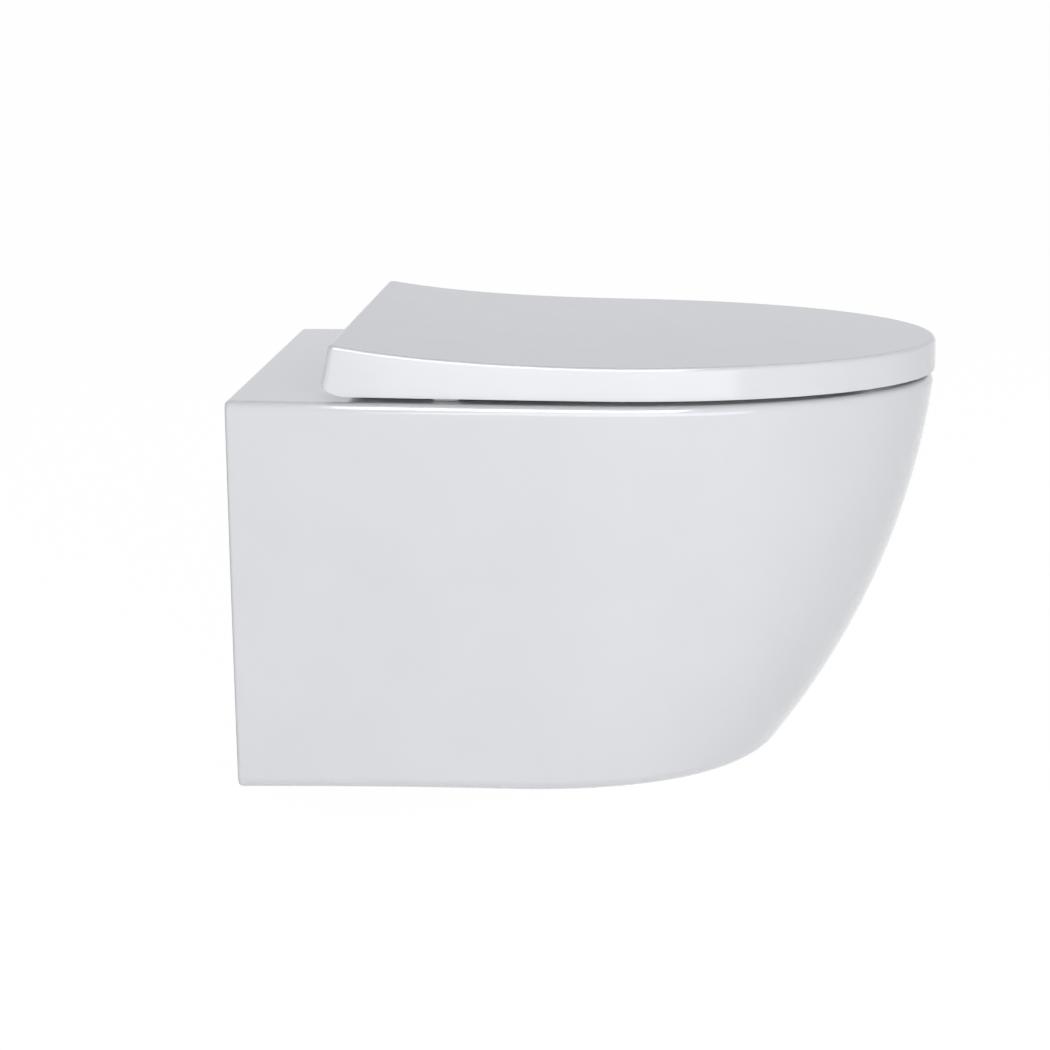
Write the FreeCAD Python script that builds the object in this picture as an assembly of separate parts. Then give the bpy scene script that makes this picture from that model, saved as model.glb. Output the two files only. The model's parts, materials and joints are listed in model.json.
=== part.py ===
"""Wall hung toilet: a rimless ceramic pan with concealed fixings and a slim wrap-over seat and lid.

Millimetres. The origin is midway between the two wall fixing holes, on the wall plane.
+Z is up, +Y goes into the wall, and the front of the pan points along -Y.
Pieces named left are at -X and pieces named right at +X.
"""

import FreeCAD
import Part

import math
import os

Vector = FreeCAD.Vector
x_axis = Vector(1, 0, 0)
y_axis = Vector(0, 1, 0)
z_axis = Vector(0, 0, 1)
left, right = -1, 1
reach = 1000.0  # longer than the whole object, for cutting tools that run right through
past = 5.0  # how far a cutting tool runs beyond the face that it opens
overlap = 1.0  # how far forms run into each other where they are joined

# ---------------------------------------------------------------- pan, outside
deck_height = 80.0  # flat top of the pan above the fixing holes
pan_height = 303.0  # deck to foot
deck_projection = 530.0  # wall to front tip, at the deck
deck_half_width = 180.0  # at the widest place
deck_wall_half_width = 175.5  # at the wall
deck_widest = 267.0  # distance of the widest place from the wall
deck_fullness = 0.5523  # 0.5523 makes the nose an ellipse, more makes it squarer
foot_projection = 408.0
foot_half_width = 159.5
foot_wall_half_width = 168.0
foot_widest = 205.0
foot_fullness = 0.60
nose_lean = 5.5  # degrees from upright at the deck
side_lean = 0.5
skin_sections = 7
deck_edge_round = 7.0
flange_round = 3.0  # all round the face against the wall
foot_edge_round = 12.0

# ---------------------------------------------------------------- pan, inside
skirt_wall = 11.0
deck_wall = 13.0
foot_wall = 12.0
basin_wall = 10.0

rim_shelf_depth = 42.0  # deck to the ledge that carries the flush water round
rim_edge_round = 7.0
ledge_round = 4.0
rim_side_width = 41.0  # of the deck beside the opening
rim_nose_width = 38.0  # of the deck in front of the opening
rim_opening = dict(
    half=deck_half_width - rim_side_width,
    rear=172.0,
    front=deck_projection - rim_nose_width,
    widest=305.0,
)
rim_undercut = 2.0  # the rim wall leans out by this on its way down
ledge_width = 13.0
sump_floor = dict(half=28.0, rear=262.0, front=312.0, widest=286.0)
sump_fall = 1.5  # floor of the sump above the floor of the trapway
# the basin between them: height over the fixings, how far it has come from the sump's floor to the
# rim's opening at the sides, at the rear and at the front, and the distance of its widest place
basin_levels = [
    (0.0, 0.802, 0.756, 0.856, 302.0),
    (-45.0, 0.640, 0.556, 0.667, 300.0),
    (-90.0, 0.423, 0.356, 0.422, 298.0),
    (-135.0, 0.216, 0.200, 0.189, 293.0),
    (-175.0, 0.108, 0.111, 0.078, 288.0),
]

trap_bore = 33.0  # radius
trap_wall = 9.0
trap_start = 285.0  # distance from the wall
trap_sump_bend = 208.0  # the corners of the trapway's centre line, as distances from the wall
trap_weir_bend = 128.0
trap_drop_bend = 62.0
weir_bend_height = -26.0
trap_bends = (55.0, 48.0, 58.0)  # radii of those corners
trap_rise_over_foot = 1.0  # the trapway's floor cuts this far into the foot

outlet_height = -100.0  # centre of the waste spigot under the fixings
outlet_radius = 51.0
outlet_bore = 43.0
outlet_length = 46.0  # ends before the trapway rises past it
outlet_bore_depth = 14.0
outlet_cone = 22.0  # length in which the bore narrows to the trapway

inlet_height = 35.0  # 135 mm above the outlet
inlet_bore = 27.5
inlet_wall = 8.5
inlet_length = 128.0
inlet_end_wall = 8.0
chamber_half_width = 50.0
chamber_height = 24.0
chamber_rear = 118.0
chamber_wall = 8.0
chamber_into_rim = 8.0  # past the rear of the rim opening
splitter_half_width = 20.0
splitter_length = 20.0

# ---------------------------------------------------------------- wall fixings
fixing_spacing = 180.0
fixing_hole = 11.2  # radius in the ceramic
fixing_boss_depth = 26.0
fixing_boss_half_height = 30.0
fixing_boss_inner = 58.0  # inner face of a boss from the middle
web_window_margin = 20.0
web_foot_height = 8.0  # lower edge of the middle of the web, under the fixing holes
sleeve_wall = 4.5
sleeve_play = 0.2
sleeve_flange = 17.0
sleeve_flange_thickness = 3.0
washer_radius = 15.0
washer_thickness = 2.5
washer_bore = 6.6
nut_across_flats = 19.0
nut_height = 10.0
nut_bore = 6.0
access_half_width = 34.0
access_near = 30.0  # distances from the wall
access_far = 112.0
access_corner = 14.0

seal_bore = 22.3
seal_length = 34.0
seal_rib = 1.0
seal_rib_width = 2.5
seal_ribs = 4
seal_play = 0.15

# ---------------------------------------------------------------- lid and seat, heights from the deck up
lid_overhang = 1.0
lid_draft = 1.2  # the top outline is smaller than the bottom one by this
lid_wall = 4.5
lid_top_wall = 4.5
lid_gap_front = 3.6  # under the lid's edge
lid_gap_rear = 4.9
lid_top_front = 28.4
lid_top_rear = 42.9
lid_slope_near = (120.0, 35.0)  # handles of the curve of the top: distance from the wall, height
lid_slope_far = (190.0, 28.6)
lid_flat_from = 300.0
lid_rear_top = 77.6
lid_rear_low = 71.2
lid_tuck_height = 16.2  # where the rear corner turns in under, to clear the deck as the lid opens
lid_tuck_length = 18.8
lid_edge_round = 3.5
lid_corner_round = 5.0
lid_swing = 98.0  # degrees
lid_notch_half_width = 122.0  # opening in the rear wall, in which the hinges stand
lid_notch_height = 35.5
lid_notch_corner = 6.0

seat_underside = 6.0
seat_thickness = 15.2
seat_inset = 7.0  # from the deck outline
seat_draft = 0.8
seat_rear = 105.0
seat_corner_round = 14.0
seat_side_width = 72.0  # deck edge to the opening, at the sides
seat_nose_width = 60.0  # and at the front
seat_opening = dict(
    half=deck_half_width - seat_side_width,
    rear=203.0,
    front=deck_projection - seat_nose_width,
    widest=318.0,
)
seat_outer_round = 4.0
seat_inner_round = 6.5
seat_low_round = 1.5
seat_hollow_wall = 5.0  # walls round the hollow of the underside
seat_hollow_depth = 9.0

# ---------------------------------------------------------------- hinges
hinge_spacing = 155.0
hinge_from_wall = 89.0
hinge_height = 19.5  # pivot above the deck
barrel_radius = 10.5
barrel_half_length = 28.0
barrel_end_round = 1.0
lug_radius = 10.0
lug_width = 11.0
lug_gap = 0.4
lug_hole_depth = 8.5
seat_arm_height = 11.0
running_play = 0.05  # radial, between a pin and what turns on it

deck_hole = 7.5
gasket_radius = 13.0
gasket_thickness = 0.8
post_disc_radius = 13.0
post_disc_thickness = 3.2
post_disc_round = 1.0
post_radius = 4.5
post_height = 15.5  # pillar above its disc
post_top_chamfer = 0.8
post_groove_depth = 0.8
post_groove_width = 2.4
post_groove_below_top = 3.0
stud_radius = 3.0
stud_into_post = 9.0
stud_beyond_nut = 3.0
plug_radius = 7.3
plug_bulge_radius = 9.5
plug_bulge_length = 20.0
plug_nut_across_flats = 13.0
plug_nut_height = 6.0

saddle_radius = 8.0
saddle_lift = 0.3  # underside of the saddle above the disc
post_head_room = 2.4  # above the pillar, in the barrel
post_web = 1.0  # between that room and the button's spring

cavity_radius = 8.0  # damper chamber in a barrel
cavity_length = 17.5
cavity_rib = 2.4
cavity_rib_root = 0.5  # how far a rib runs into the barrel's wall
rotor_core = 4.6
rotor_radius = 7.6
rotor_length = 13.0
rotor_vane = 2.8
rotor_shaft = 4.0
rotor_flats = 3.0  # from the shaft's axis
end_cap_thickness = 3.0
seal_ring_section = 0.9  # radius
seal_ring_seat = 1.9  # depth of its seat in the cap
idle_pin_radius = 3.0
idle_pin_depth = 14.0

collar_radius = 5.6
collar_height = 0.6  # above the barrel
button_radius = 3.6
button_flange_radius = 4.3
button_flange = 1.0
button_stem = 1.5
button_proud = 2.2
button_play = 0.2
button_room = 4.6  # radius of the spring chamber
button_ledge = 2.0
button_top_round = 0.6
spring_wire = 0.3  # radius
spring_radius = 3.4
spring_turns = 3

# ---------------------------------------------------------------- buffers
seat_buffer_half_width = 6.5
seat_buffer_half_length = 10.0
seat_buffer_lift = 0.2
seat_buffer_recess = 2.0
seat_buffer_boss = 2.5  # round a buffer, in the hollow of the seat
seat_buffer_corner = 3.9
buffer_edge_round = 1.0
seat_buffer_side = 23.0  # middle of a rear buffer from the side of the deck
seat_buffer_rear = 161.0  # and from the wall
seat_buffer_front = 88.0
lid_buffer_radius = 6.0
lid_buffer_recess = 1.2
lid_buffer_lift = 0.2
lid_buffer_rear = 330.0  # from the wall
lid_buffer_front = 75.0  # from the middle

# ---------------------------------------------------------------- worked out from the sizes above
deck = deck_height
foot = deck_height - pan_height
hinge_y = -hinge_from_wall
hinge_z = deck + hinge_height
hinge_x = hinge_spacing / 2
fixing_x = fixing_spacing / 2
trap_floor = foot + foot_wall - trap_rise_over_foot
disc_bottom = deck + gasket_thickness
disc_top = disc_bottom + post_disc_thickness
post_top = disc_top + post_height
head_room_top = post_top + post_head_room
spring_floor = head_room_top + post_web
collar_top = hinge_z + barrel_radius + collar_height
ledge_height = collar_top - button_ledge
flange_top = ledge_height - button_play
flange_bottom = flange_top - button_flange
plug_bottom = deck - deck_wall - plug_bulge_length
seat_low = deck + seat_underside
seat_top = seat_low + seat_thickness
sleeve_radius = fixing_hole - sleeve_play
lug_inner = barrel_half_length + lug_gap  # near face of a lug from the middle of its barrel
flush_slot_low = deck - rim_shelf_depth
rotor_rest_angle = (180.0 - lid_swing) / 2  # of the vanes from upright, to clear the ribs on both ends


# ---------------------------------------------------------------- small tools
def disc_along(radius, length, start, direction):
    """A solid cylinder from start along direction."""
    return Part.makeCylinder(radius, length, start, direction)


def tube_along(outer, inner, length, start, direction):
    """A tube from start along direction."""
    return disc_along(outer, length, start, direction).cut(disc_along(inner, length, start, direction))


def upright(radius, low, high, x=0.0, y=hinge_y):
    """An upright cylinder between two heights, in the line of the hinges unless y says otherwise."""
    return disc_along(radius, high - low, Vector(x, y, low), z_axis)


def pivot_disc(radius, near, far):
    """A cylinder along the pivot line between two distances from the middle of a hinge."""
    return disc_along(radius, far - near, Vector(near, hinge_y, hinge_z), x_axis)


def hexagon(across_flats, height, bore, start, direction):
    """A nut from start along direction."""
    ring = Part.makePolygon([Vector(math.cos(math.radians(60 * i)), math.sin(math.radians(60 * i)), 0)
                             .multiply(across_flats / math.sqrt(3)) for i in range(7)])
    prism = Part.Face(ring).extrude(Vector(0, 0, height))
    prism.Placement = FreeCAD.Placement(start, FreeCAD.Rotation(z_axis, direction))
    return prism.cut(disc_along(bore, height, start, direction))


def block(x_range, y_range, z_range):
    """A box between the two values of each range."""
    size = [b - a for a, b in (x_range, y_range, z_range)]
    return Part.makeBox(*size, Vector(x_range[0], y_range[0], z_range[0]))


def joined(first, *others):
    """One solid out of several that meet, without the seams between them."""
    return first.multiFuse(list(others)).removeSplitter()


def bezier(*points):
    """A curve edge through its first and last point, drawn by the handles between them."""
    curve = Part.BezierCurve()
    curve.setPoles(list(points))
    return curve.toShape()


def extrude_x(wire, half_width):
    """The solid between -half_width and +half_width of a closed wire in the YZ plane."""
    face = Part.Face(wire)
    face.translate(Vector(-half_width, 0, 0))
    return face.extrude(Vector(2 * half_width, 0, 0))


def edges_where(shape, test):
    """The edges whose middle point and bounding box pass a test."""
    found = []
    for edge in shape.Edges:
        middle = edge.valueAt((edge.FirstParameter + edge.LastParameter) / 2)
        if test(middle, edge.BoundBox):
            found.append(edge)
    return found


def rounded(shape, radius, test):
    """The shape with the edges that pass the test rounded."""
    return shape.makeFillet(radius, edges_where(shape, test))


def level(box, height, tolerance=0.05):
    """True for an edge that lies flat at a height."""
    return abs(box.ZMin - height) < tolerance and abs(box.ZMax - height) < tolerance


# ---------------------------------------------------------------- outlines
def outline(z, half, at_wall, widest, front, fullness, back=0.0, inset=0.0):
    """Closed plan outline: straight across the back, bowed sides and a full nose."""
    bow = (half - at_wall) * (1 - back / widest) ** 2
    corner = half - bow - inset
    side = half - inset
    tip = front - inset
    nose = tip - widest

    def side_edges(s):
        start = Vector(s * corner, -back, z)
        middle = Vector(s * side, -widest, z)
        bowed = bezier(start, Vector(s * side, -(back + widest) / 2, z), middle)
        handle = Vector(s * side, -(widest + fullness * nose), z)
        curved = bezier(middle, handle, Vector(s * fullness * side, -tip, z), Vector(0, -tip, z))
        return [bowed, curved]

    across = Part.makeLine(Vector(-corner, -back, z), Vector(corner, -back, z))
    return Part.Wire([across] + side_edges(right) + side_edges(left)[::-1])


def lean_in(drop, total, lean):
    """How far a wall has come in at a drop below the deck, on an arc that starts at a lean."""
    first = math.radians(lean)
    last = 2 * math.atan(total / pan_height) - first
    if abs(last - first) < 1e-6:
        return total * drop / pan_height
    radius = pan_height / (math.sin(last) - math.sin(first))
    here = math.asin(math.sin(first) + drop / radius)
    return radius * (math.cos(first) - math.cos(here))


def pan_section(z, inset=0.0, back=0.0):
    """The pan's outline at a height."""
    drop = deck - z
    share = drop / pan_height
    return outline(
        z,
        half=deck_half_width - lean_in(drop, deck_half_width - foot_half_width, side_lean),
        at_wall=deck_wall_half_width - lean_in(drop, deck_wall_half_width - foot_wall_half_width, side_lean),
        widest=deck_widest + (foot_widest - deck_widest) * share,
        front=deck_projection - lean_in(drop, deck_projection - foot_projection, nose_lean),
        fullness=deck_fullness + (foot_fullness - deck_fullness) * share,
        back=back,
        inset=inset,
    )


def deck_outline(z, inset, back):
    """The outline of the deck, larger or smaller, cut off at a distance from the wall."""
    return outline(
        z,
        deck_half_width,
        deck_wall_half_width,
        deck_widest,
        deck_projection,
        deck_fullness,
        back,
        inset,
    )


def oval(z, half, rear, front, widest, grow=0.0):
    """A closed egg-shaped outline round the middle plane."""
    half, rear, front = half + grow, rear - grow, front + grow
    arc = deck_fullness

    def quarter(s, end):
        span = end - widest
        return [
            Vector(s * half, -widest, z),
            Vector(s * half, -(widest + arc * span), z),
            Vector(s * arc * half, -end, z),
            Vector(0, -end, z),
        ]

    return Part.Wire(
        [
            bezier(*quarter(right, front)),
            bezier(*quarter(left, front)[::-1]),
            bezier(*quarter(left, rear)),
            bezier(*quarter(right, rear)[::-1]),
        ]
    )


def within(box, opening):
    """True for an edge that lies on an oval opening or inside it."""
    side = opening["half"] + 1
    return box.XMax < side and box.XMin > -side and box.YMax < -opening["rear"] + 1


def loft(wires, ruled=False):
    """A solid through outlines."""
    return Part.makeLoft(wires, True, ruled)


# ---------------------------------------------------------------- ceramic pan
def pan_heights(low, high):
    """Evenly spaced heights from high to low."""
    return [high + (low - high) * i / (skin_sections - 1) for i in range(skin_sections)]


def pan_outside():
    """The outer form of the pan, solid right through."""
    into_wall = foot_edge_round + deck_edge_round  # the form runs on past the wall plane and is cut there
    shape = loft([pan_section(z, back=-into_wall) for z in pan_heights(foot, deck)])
    shape = rounded(shape, foot_edge_round, lambda p, b: level(b, foot) and p.y < into_wall - 1)
    shape = rounded(shape, deck_edge_round, lambda p, b: level(b, deck) and p.y < into_wall - 1)
    shape = shape.common(block((-reach, reach), (-reach, 0), (-reach, reach))).removeSplitter()
    return rounded(shape, flange_round, lambda p, b: b.YLength < 0.01 and abs(p.y) < 0.01)


def pan_cavity():
    """The hollow between the skirt and the basin, open towards the wall."""
    low, high = foot + foot_wall, deck - deck_wall
    return loft([pan_section(z, inset=skirt_wall, back=-past) for z in pan_heights(low, high)])


def basin(grow):
    """The basin below the flush ledge, larger all round by grow."""

    def between(size, share):
        return sump_floor[size] + (rim_opening[size] - sump_floor[size]) * share

    wires = [oval(flush_slot_low, grow=grow + rim_undercut - ledge_width, **rim_opening)]
    for z, side, back, ahead, widest in basin_levels:
        half, rear, front = between("half", side), between("rear", back), between("front", ahead)
        wires.append(oval(z, half, rear, front, widest, grow))
    wires.append(oval(trap_floor + sump_fall, grow=grow, **sump_floor))
    return loft(wires)


def rim_hollow(grow, high):
    """The upright part of the opening, from the flush ledge to a height."""
    wires = [oval(flush_slot_low - grow, grow=rim_undercut + grow, **rim_opening)]
    wires.append(oval(high, grow=grow, **rim_opening))
    return loft(wires, ruled=True)


def bent_path(points, bends):
    """A path of straight runs in the middle plane, with an arc of its own radius at each corner."""
    edges = []
    here = points[0]
    for before, corner, after, radius in zip(points, points[1:], points[2:], bends):
        inward = (before - corner).normalize()
        outward = (after - corner).normalize()
        half_angle = inward.getAngle(outward) / 2
        run_in = radius / math.tan(half_angle)
        start, end = corner + inward * run_in, corner + outward * run_in
        middle = corner + (inward + outward).normalize() * (radius / math.sin(half_angle) - radius)
        edges += [Part.makeLine(here, start), Part.Arc(start, middle, end).toShape()]
        here = end
    return Part.Wire(edges + [Part.makeLine(here, points[-1])])


def trapway(radius):
    """A round passage from the sump, up over the weir and down to the spigot."""
    sump_height = trap_floor + trap_bore
    points = [
        Vector(0, -trap_start, sump_height),
        Vector(0, -trap_sump_bend, sump_height),
        Vector(0, -trap_weir_bend, weir_bend_height),
        Vector(0, -trap_drop_bend, outlet_height),
        Vector(0, -outlet_bore_depth - outlet_cone / 2, outlet_height),
    ]
    path = bent_path(points, trap_bends)
    ring = Part.Wire(Part.makeCircle(radius, points[0], y_axis))
    return path.makePipeShell([ring], True, True)


def outlet_passage():
    """The bore of the waste spigot, with the cone that widens the trapway to it."""
    bore = disc_along(outlet_bore, outlet_bore_depth + past, Vector(0, past, outlet_height), -y_axis)
    cone_start = Vector(0, -outlet_bore_depth, outlet_height)
    cone = Part.makeCone(outlet_bore, trap_bore, outlet_cone, cone_start, -y_axis)
    return joined(bore, cone)


def flush_passage():
    """The flush water's way from the wall to the two slots at the back of the rim."""
    bore = disc_along(inlet_bore, inlet_length + past, Vector(0, past, inlet_height), -y_axis)
    chamber_front = rim_opening["rear"] + chamber_into_rim
    chamber = block(
        (-chamber_half_width, chamber_half_width),
        (-chamber_front, -chamber_rear),
        (flush_slot_low, flush_slot_low + chamber_height),
    )
    splitter = block(
        (-splitter_half_width, splitter_half_width),
        (-chamber_front - overlap, -chamber_front + splitter_length),
        (flush_slot_low - overlap, flush_slot_low + chamber_height + overlap),
    )
    return joined(bore, chamber.cut(splitter))


def flush_casing():
    """The ceramic round the flush passage."""
    mouth = Vector(0, 0, inlet_height)
    tube = disc_along(inlet_bore + inlet_wall, inlet_length + inlet_end_wall, mouth, -y_axis)
    chamber = block(
        (-chamber_half_width - chamber_wall, chamber_half_width + chamber_wall),
        (-rim_opening["rear"] - overlap, -chamber_rear + chamber_wall),
        (flush_slot_low - chamber_wall, deck - overlap),
    )
    return joined(tube, chamber)


def fixing_boss(s):
    """The block of ceramic that a wall stud passes through, tied to the skirt and the inlet."""
    inner, outer = sorted((s * fixing_boss_inner, s * deck_half_width))
    heights = (-fixing_boss_half_height, fixing_boss_half_height)
    return block((inner, outer), (-fixing_boss_depth, 0), heights)


def boss_web():
    """The wall between the two bosses, which also ties the inlet and the spigot to the deck."""
    width = fixing_boss_inner + overlap
    window = width - web_window_margin
    low = -fixing_boss_half_height
    wall = block((-width, width), (-fixing_boss_depth, 0), (low, deck - overlap))
    return wall.cut(block((-window, window), (-fixing_boss_depth, past), (low - past, -web_foot_height)))


def access_hole(s):
    """The hand hole in the foot, through which the fixing nut is reached."""
    middle = s * fixing_x
    hole = block(
        (middle - access_half_width, middle + access_half_width),
        (-access_far, -access_near),
        (foot - past, foot + foot_wall + past),
    )
    return rounded(hole, access_corner, lambda p, b: b.ZLength > foot_wall and b.XLength < 1 > b.YLength)


def pan_with_opening():
    """The outer form with the bowl's opening sunk in it and its edges rounded."""
    shape = pan_outside().cut([basin(0.0), rim_hollow(0.0, deck + overlap)])
    ledge = flush_slot_low
    shape = rounded(shape, rim_edge_round, lambda p, b: level(b, deck) and within(b, rim_opening))
    return rounded(shape, ledge_round, lambda p, b: level(b, ledge))


def ceramic_pan():
    outside = pan_outside()
    inner_forms = [
        rim_hollow(basin_wall, deck - overlap),
        trapway(trap_bore + trap_wall),
        disc_along(outlet_radius, outlet_length, Vector(0, 0, outlet_height), -y_axis),
        flush_casing(),
        fixing_boss(left),
        fixing_boss(right),
        boss_web(),
    ]
    filled = basin(basin_wall).multiFuse(inner_forms).common(outside)
    hollows = [pan_cavity().cut(filled), trapway(trap_bore), outlet_passage(), flush_passage()]
    for s in (left, right):
        mouth = Vector(s * fixing_x, past, 0)
        hollows.append(disc_along(fixing_hole, fixing_boss_depth + 2 * past, mouth, -y_axis))
        hollows.append(upright(deck_hole, deck - deck_wall - past, deck + past, s * hinge_x))
        hollows.append(access_hole(s))
    return pan_with_opening().cut(hollows).removeSplitter()


# ---------------------------------------------------------------- wall fixings and seals
def both_fixings(make):
    """A compound of what make builds at each fixing hole."""
    return Part.makeCompound([make(Vector(s * fixing_x, 0, 0)) for s in (left, right)])


def fixing_sleeve(place):
    """The plastic bush that lines a fixing hole, with a flange on its inner end."""
    length = fixing_boss_depth + sleeve_flange_thickness
    behind = place - y_axis * fixing_boss_depth
    bush = disc_along(sleeve_radius, length, place, -y_axis)
    flange = disc_along(sleeve_flange, sleeve_flange_thickness, behind, -y_axis)
    bore = disc_along(sleeve_radius - sleeve_wall, length, place, -y_axis)
    return joined(bush, flange).cut(bore)


def fixing_washer(place):
    start = place - y_axis * (fixing_boss_depth + sleeve_flange_thickness)
    return tube_along(washer_radius, washer_bore, washer_thickness, start, -y_axis)


def fixing_nut(place):
    start = place - y_axis * (fixing_boss_depth + sleeve_flange_thickness + washer_thickness)
    return hexagon(nut_across_flats, nut_height, nut_bore, start, -y_axis)


def flush_inlet_seal():
    """The rubber sleeve in the flush inlet, with ribs that grip the ceramic."""
    mouth = Vector(0, 0, inlet_height)
    rib_radius = inlet_bore - seal_play
    shape = disc_along(rib_radius - seal_rib, seal_length, mouth, -y_axis)
    pitch = (seal_length - seal_rib_width) / (seal_ribs - 1)
    places = [mouth - y_axis * (i * pitch) for i in range(seal_ribs)]
    ribs = [disc_along(rib_radius, seal_rib_width, place, -y_axis) for place in places]
    return joined(shape, *ribs).cut(disc_along(seal_bore, seal_length, mouth, -y_axis))


# ---------------------------------------------------------------- hinges, each built at x = 0
def post_gasket():
    bore = upright(stud_radius + running_play, deck, disc_bottom)
    return upright(gasket_radius, deck, disc_bottom).cut(bore)


def hinge_post():
    """The metal disc that stands on the deck and the grooved pillar on which a barrel is pushed."""
    disc = upright(post_disc_radius, disc_bottom, disc_top)
    disc = rounded(disc, post_disc_round, lambda p, b: level(b, disc_top))
    pillar = upright(post_radius, disc_bottom, post_top)
    pillar = pillar.makeChamfer(post_top_chamfer, edges_where(pillar, lambda p, b: level(b, post_top)))
    groove_top = post_top - post_groove_below_top
    groove_low = groove_top - post_groove_width
    groove = upright(post_radius + 1, groove_low, groove_top)
    groove = groove.cut(upright(post_radius - post_groove_depth, groove_low, groove_top))
    thread = upright(stud_radius + running_play, disc_bottom, disc_bottom + stud_into_post)
    return joined(disc, pillar).cut(groove).cut(thread)


def expansion_plug():
    """The rubber plug that swells under the deck when its nut is drawn up."""
    neck = upright(plug_radius, deck - deck_wall, deck)
    bulge = upright(plug_bulge_radius, plug_bottom, deck - deck_wall)
    bulge = rounded(bulge, plug_bulge_radius - plug_radius, lambda p, b: level(b, plug_bottom))
    return joined(neck, bulge).cut(upright(stud_radius + running_play, plug_bottom, deck))


def post_stud():
    lower_end = plug_bottom - plug_nut_height - stud_beyond_nut
    return upright(stud_radius, lower_end, disc_bottom + stud_into_post)


def plug_nut():
    start = Vector(0, hinge_y, plug_bottom)
    return hexagon(plug_nut_across_flats, plug_nut_height, stud_radius + running_play, start, -z_axis)


def damper_barrel():
    """The barrel of a hinge: damper chamber towards -X, idle pin hole towards +X, button on top."""
    barrel = pivot_disc(barrel_radius, -barrel_half_length, barrel_half_length)
    barrel = rounded(barrel, barrel_end_round, lambda p, b: b.XLength < 0.01)
    saddle = upright(saddle_radius, disc_top + saddle_lift, hinge_z)
    collar = upright(collar_radius, hinge_z, collar_top)
    chamber_end = -barrel_half_length + cavity_length
    rib_reach = (cavity_radius + cavity_rib_root, rotor_core + running_play * 2)
    ribs = [
        block(
            (-barrel_half_length + end_cap_thickness + running_play, chamber_end + cavity_rib_root),
            (hinge_y - cavity_rib / 2, hinge_y + cavity_rib / 2),
            sorted(hinge_z + s * reach for reach in rib_reach),
        )
        for s in (left, right)
    ]
    hollows = [
        pivot_disc(cavity_radius, -barrel_half_length, chamber_end).cut(ribs),
        pivot_disc(idle_pin_radius + running_play, barrel_half_length - idle_pin_depth, barrel_half_length),
        upright(post_radius + running_play, disc_top, head_room_top),
        upright(button_stem + button_play, head_room_top, spring_floor),
        upright(button_room, spring_floor, ledge_height),
        upright(button_radius + button_play, ledge_height, collar_top),
    ]
    return joined(barrel, saddle, collar).cut(hollows)


def barrel_end_cap():
    """The cap that closes the damper chamber, with a seat for the shaft seal."""
    inner = -barrel_half_length + end_cap_thickness
    cap = pivot_disc(cavity_radius - running_play, -barrel_half_length, inner)
    seat = pivot_disc(rotor_shaft + 2 * seal_ring_section + 2 * running_play, inner - seal_ring_seat, inner)
    return cap.cut(pivot_disc(rotor_shaft + running_play, -barrel_half_length, inner)).cut(seat)


def rotor_seal():
    """The rubber ring round the rotor's shaft, in the end cap."""
    middle = -barrel_half_length + end_cap_thickness - seal_ring_seat / 2
    radius = rotor_shaft + running_play + seal_ring_section
    return Part.makeTorus(radius, seal_ring_section, Vector(middle, hinge_y, hinge_z), x_axis)


def damper_rotor():
    """The vaned rotor of a damper, whose flattened shaft drives a lug."""
    chamber_start = -barrel_half_length + end_cap_thickness
    start = chamber_start + (cavity_length - end_cap_thickness - rotor_length) / 2
    core = pivot_disc(rotor_core, start, start + rotor_length)
    vanes = block(
        (start, start + rotor_length),
        (hinge_y - rotor_vane / 2, hinge_y + rotor_vane / 2),
        (hinge_z - rotor_radius, hinge_z + rotor_radius),
    ).common(pivot_disc(rotor_radius, start, start + rotor_length))
    vanes.rotate(Vector(0, hinge_y, hinge_z), x_axis, -rotor_rest_angle)
    shaft = pivot_disc(rotor_shaft, -lug_inner, start)
    tongue = pivot_disc(rotor_shaft, -lug_inner - lug_hole_depth + 2 * running_play, -lug_inner)
    return joined(core, vanes, shaft, tongue.common(flats(rotor_flats)))


def flats(half_height):
    """The band between two flats on the pivot line."""
    return block((-reach, reach), (-reach, reach), (hinge_z - half_height, hinge_z + half_height))


def idle_pin():
    outer_end = lug_inner + lug_hole_depth - 2 * running_play
    return pivot_disc(idle_pin_radius, barrel_half_length - idle_pin_depth, outer_end)


def release_button():
    """The button on a barrel, pressed to free the barrel from its post."""
    head = upright(button_radius, flange_bottom, collar_top + button_proud)
    head = rounded(head, button_top_round, lambda p, b: level(b, collar_top + button_proud))
    flange = upright(button_flange_radius, flange_bottom, flange_top)
    return joined(head, flange, upright(button_stem, head_room_top, flange_bottom))


def button_spring():
    """The return spring between the barrel and the button's flange, in arcs of a quarter turn."""
    low, high = spring_floor + spring_wire, flange_bottom - spring_wire
    count = 4 * spring_turns

    def on_spring(quarters):
        angle = math.radians(90 * quarters)
        height = low + (high - low) * quarters / count
        return Vector(spring_radius * math.cos(angle), hinge_y + spring_radius * math.sin(angle), height)

    arcs = [Part.Arc(on_spring(i), on_spring(i + 0.5), on_spring(i + 1)).toShape() for i in range(count)]
    start = arcs[0].FirstParameter
    ring = Part.Wire(Part.makeCircle(spring_wire, arcs[0].valueAt(start), arcs[0].tangentAt(start)))
    return Part.Wire(arcs).makePipeShell([ring], True, False)


def lug_holes(centre, towards):
    """The hole for a rotor's tongue or an idle pin in a lug that lies beyond the end of a barrel."""
    if towards == left:
        hole = pivot_disc(rotor_shaft + running_play, -lug_inner - lug_hole_depth, -lug_inner)
        hole = hole.common(flats(rotor_flats + running_play))
    else:
        hole = pivot_disc(idle_pin_radius + running_play, lug_inner, lug_inner + lug_hole_depth)
    return hole.translated(Vector(centre, 0, 0))


def lug_span(centre, towards):
    """The two x values between which a lug lies."""
    return sorted((centre + towards * lug_inner, centre + towards * (lug_inner + lug_width)))


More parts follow.
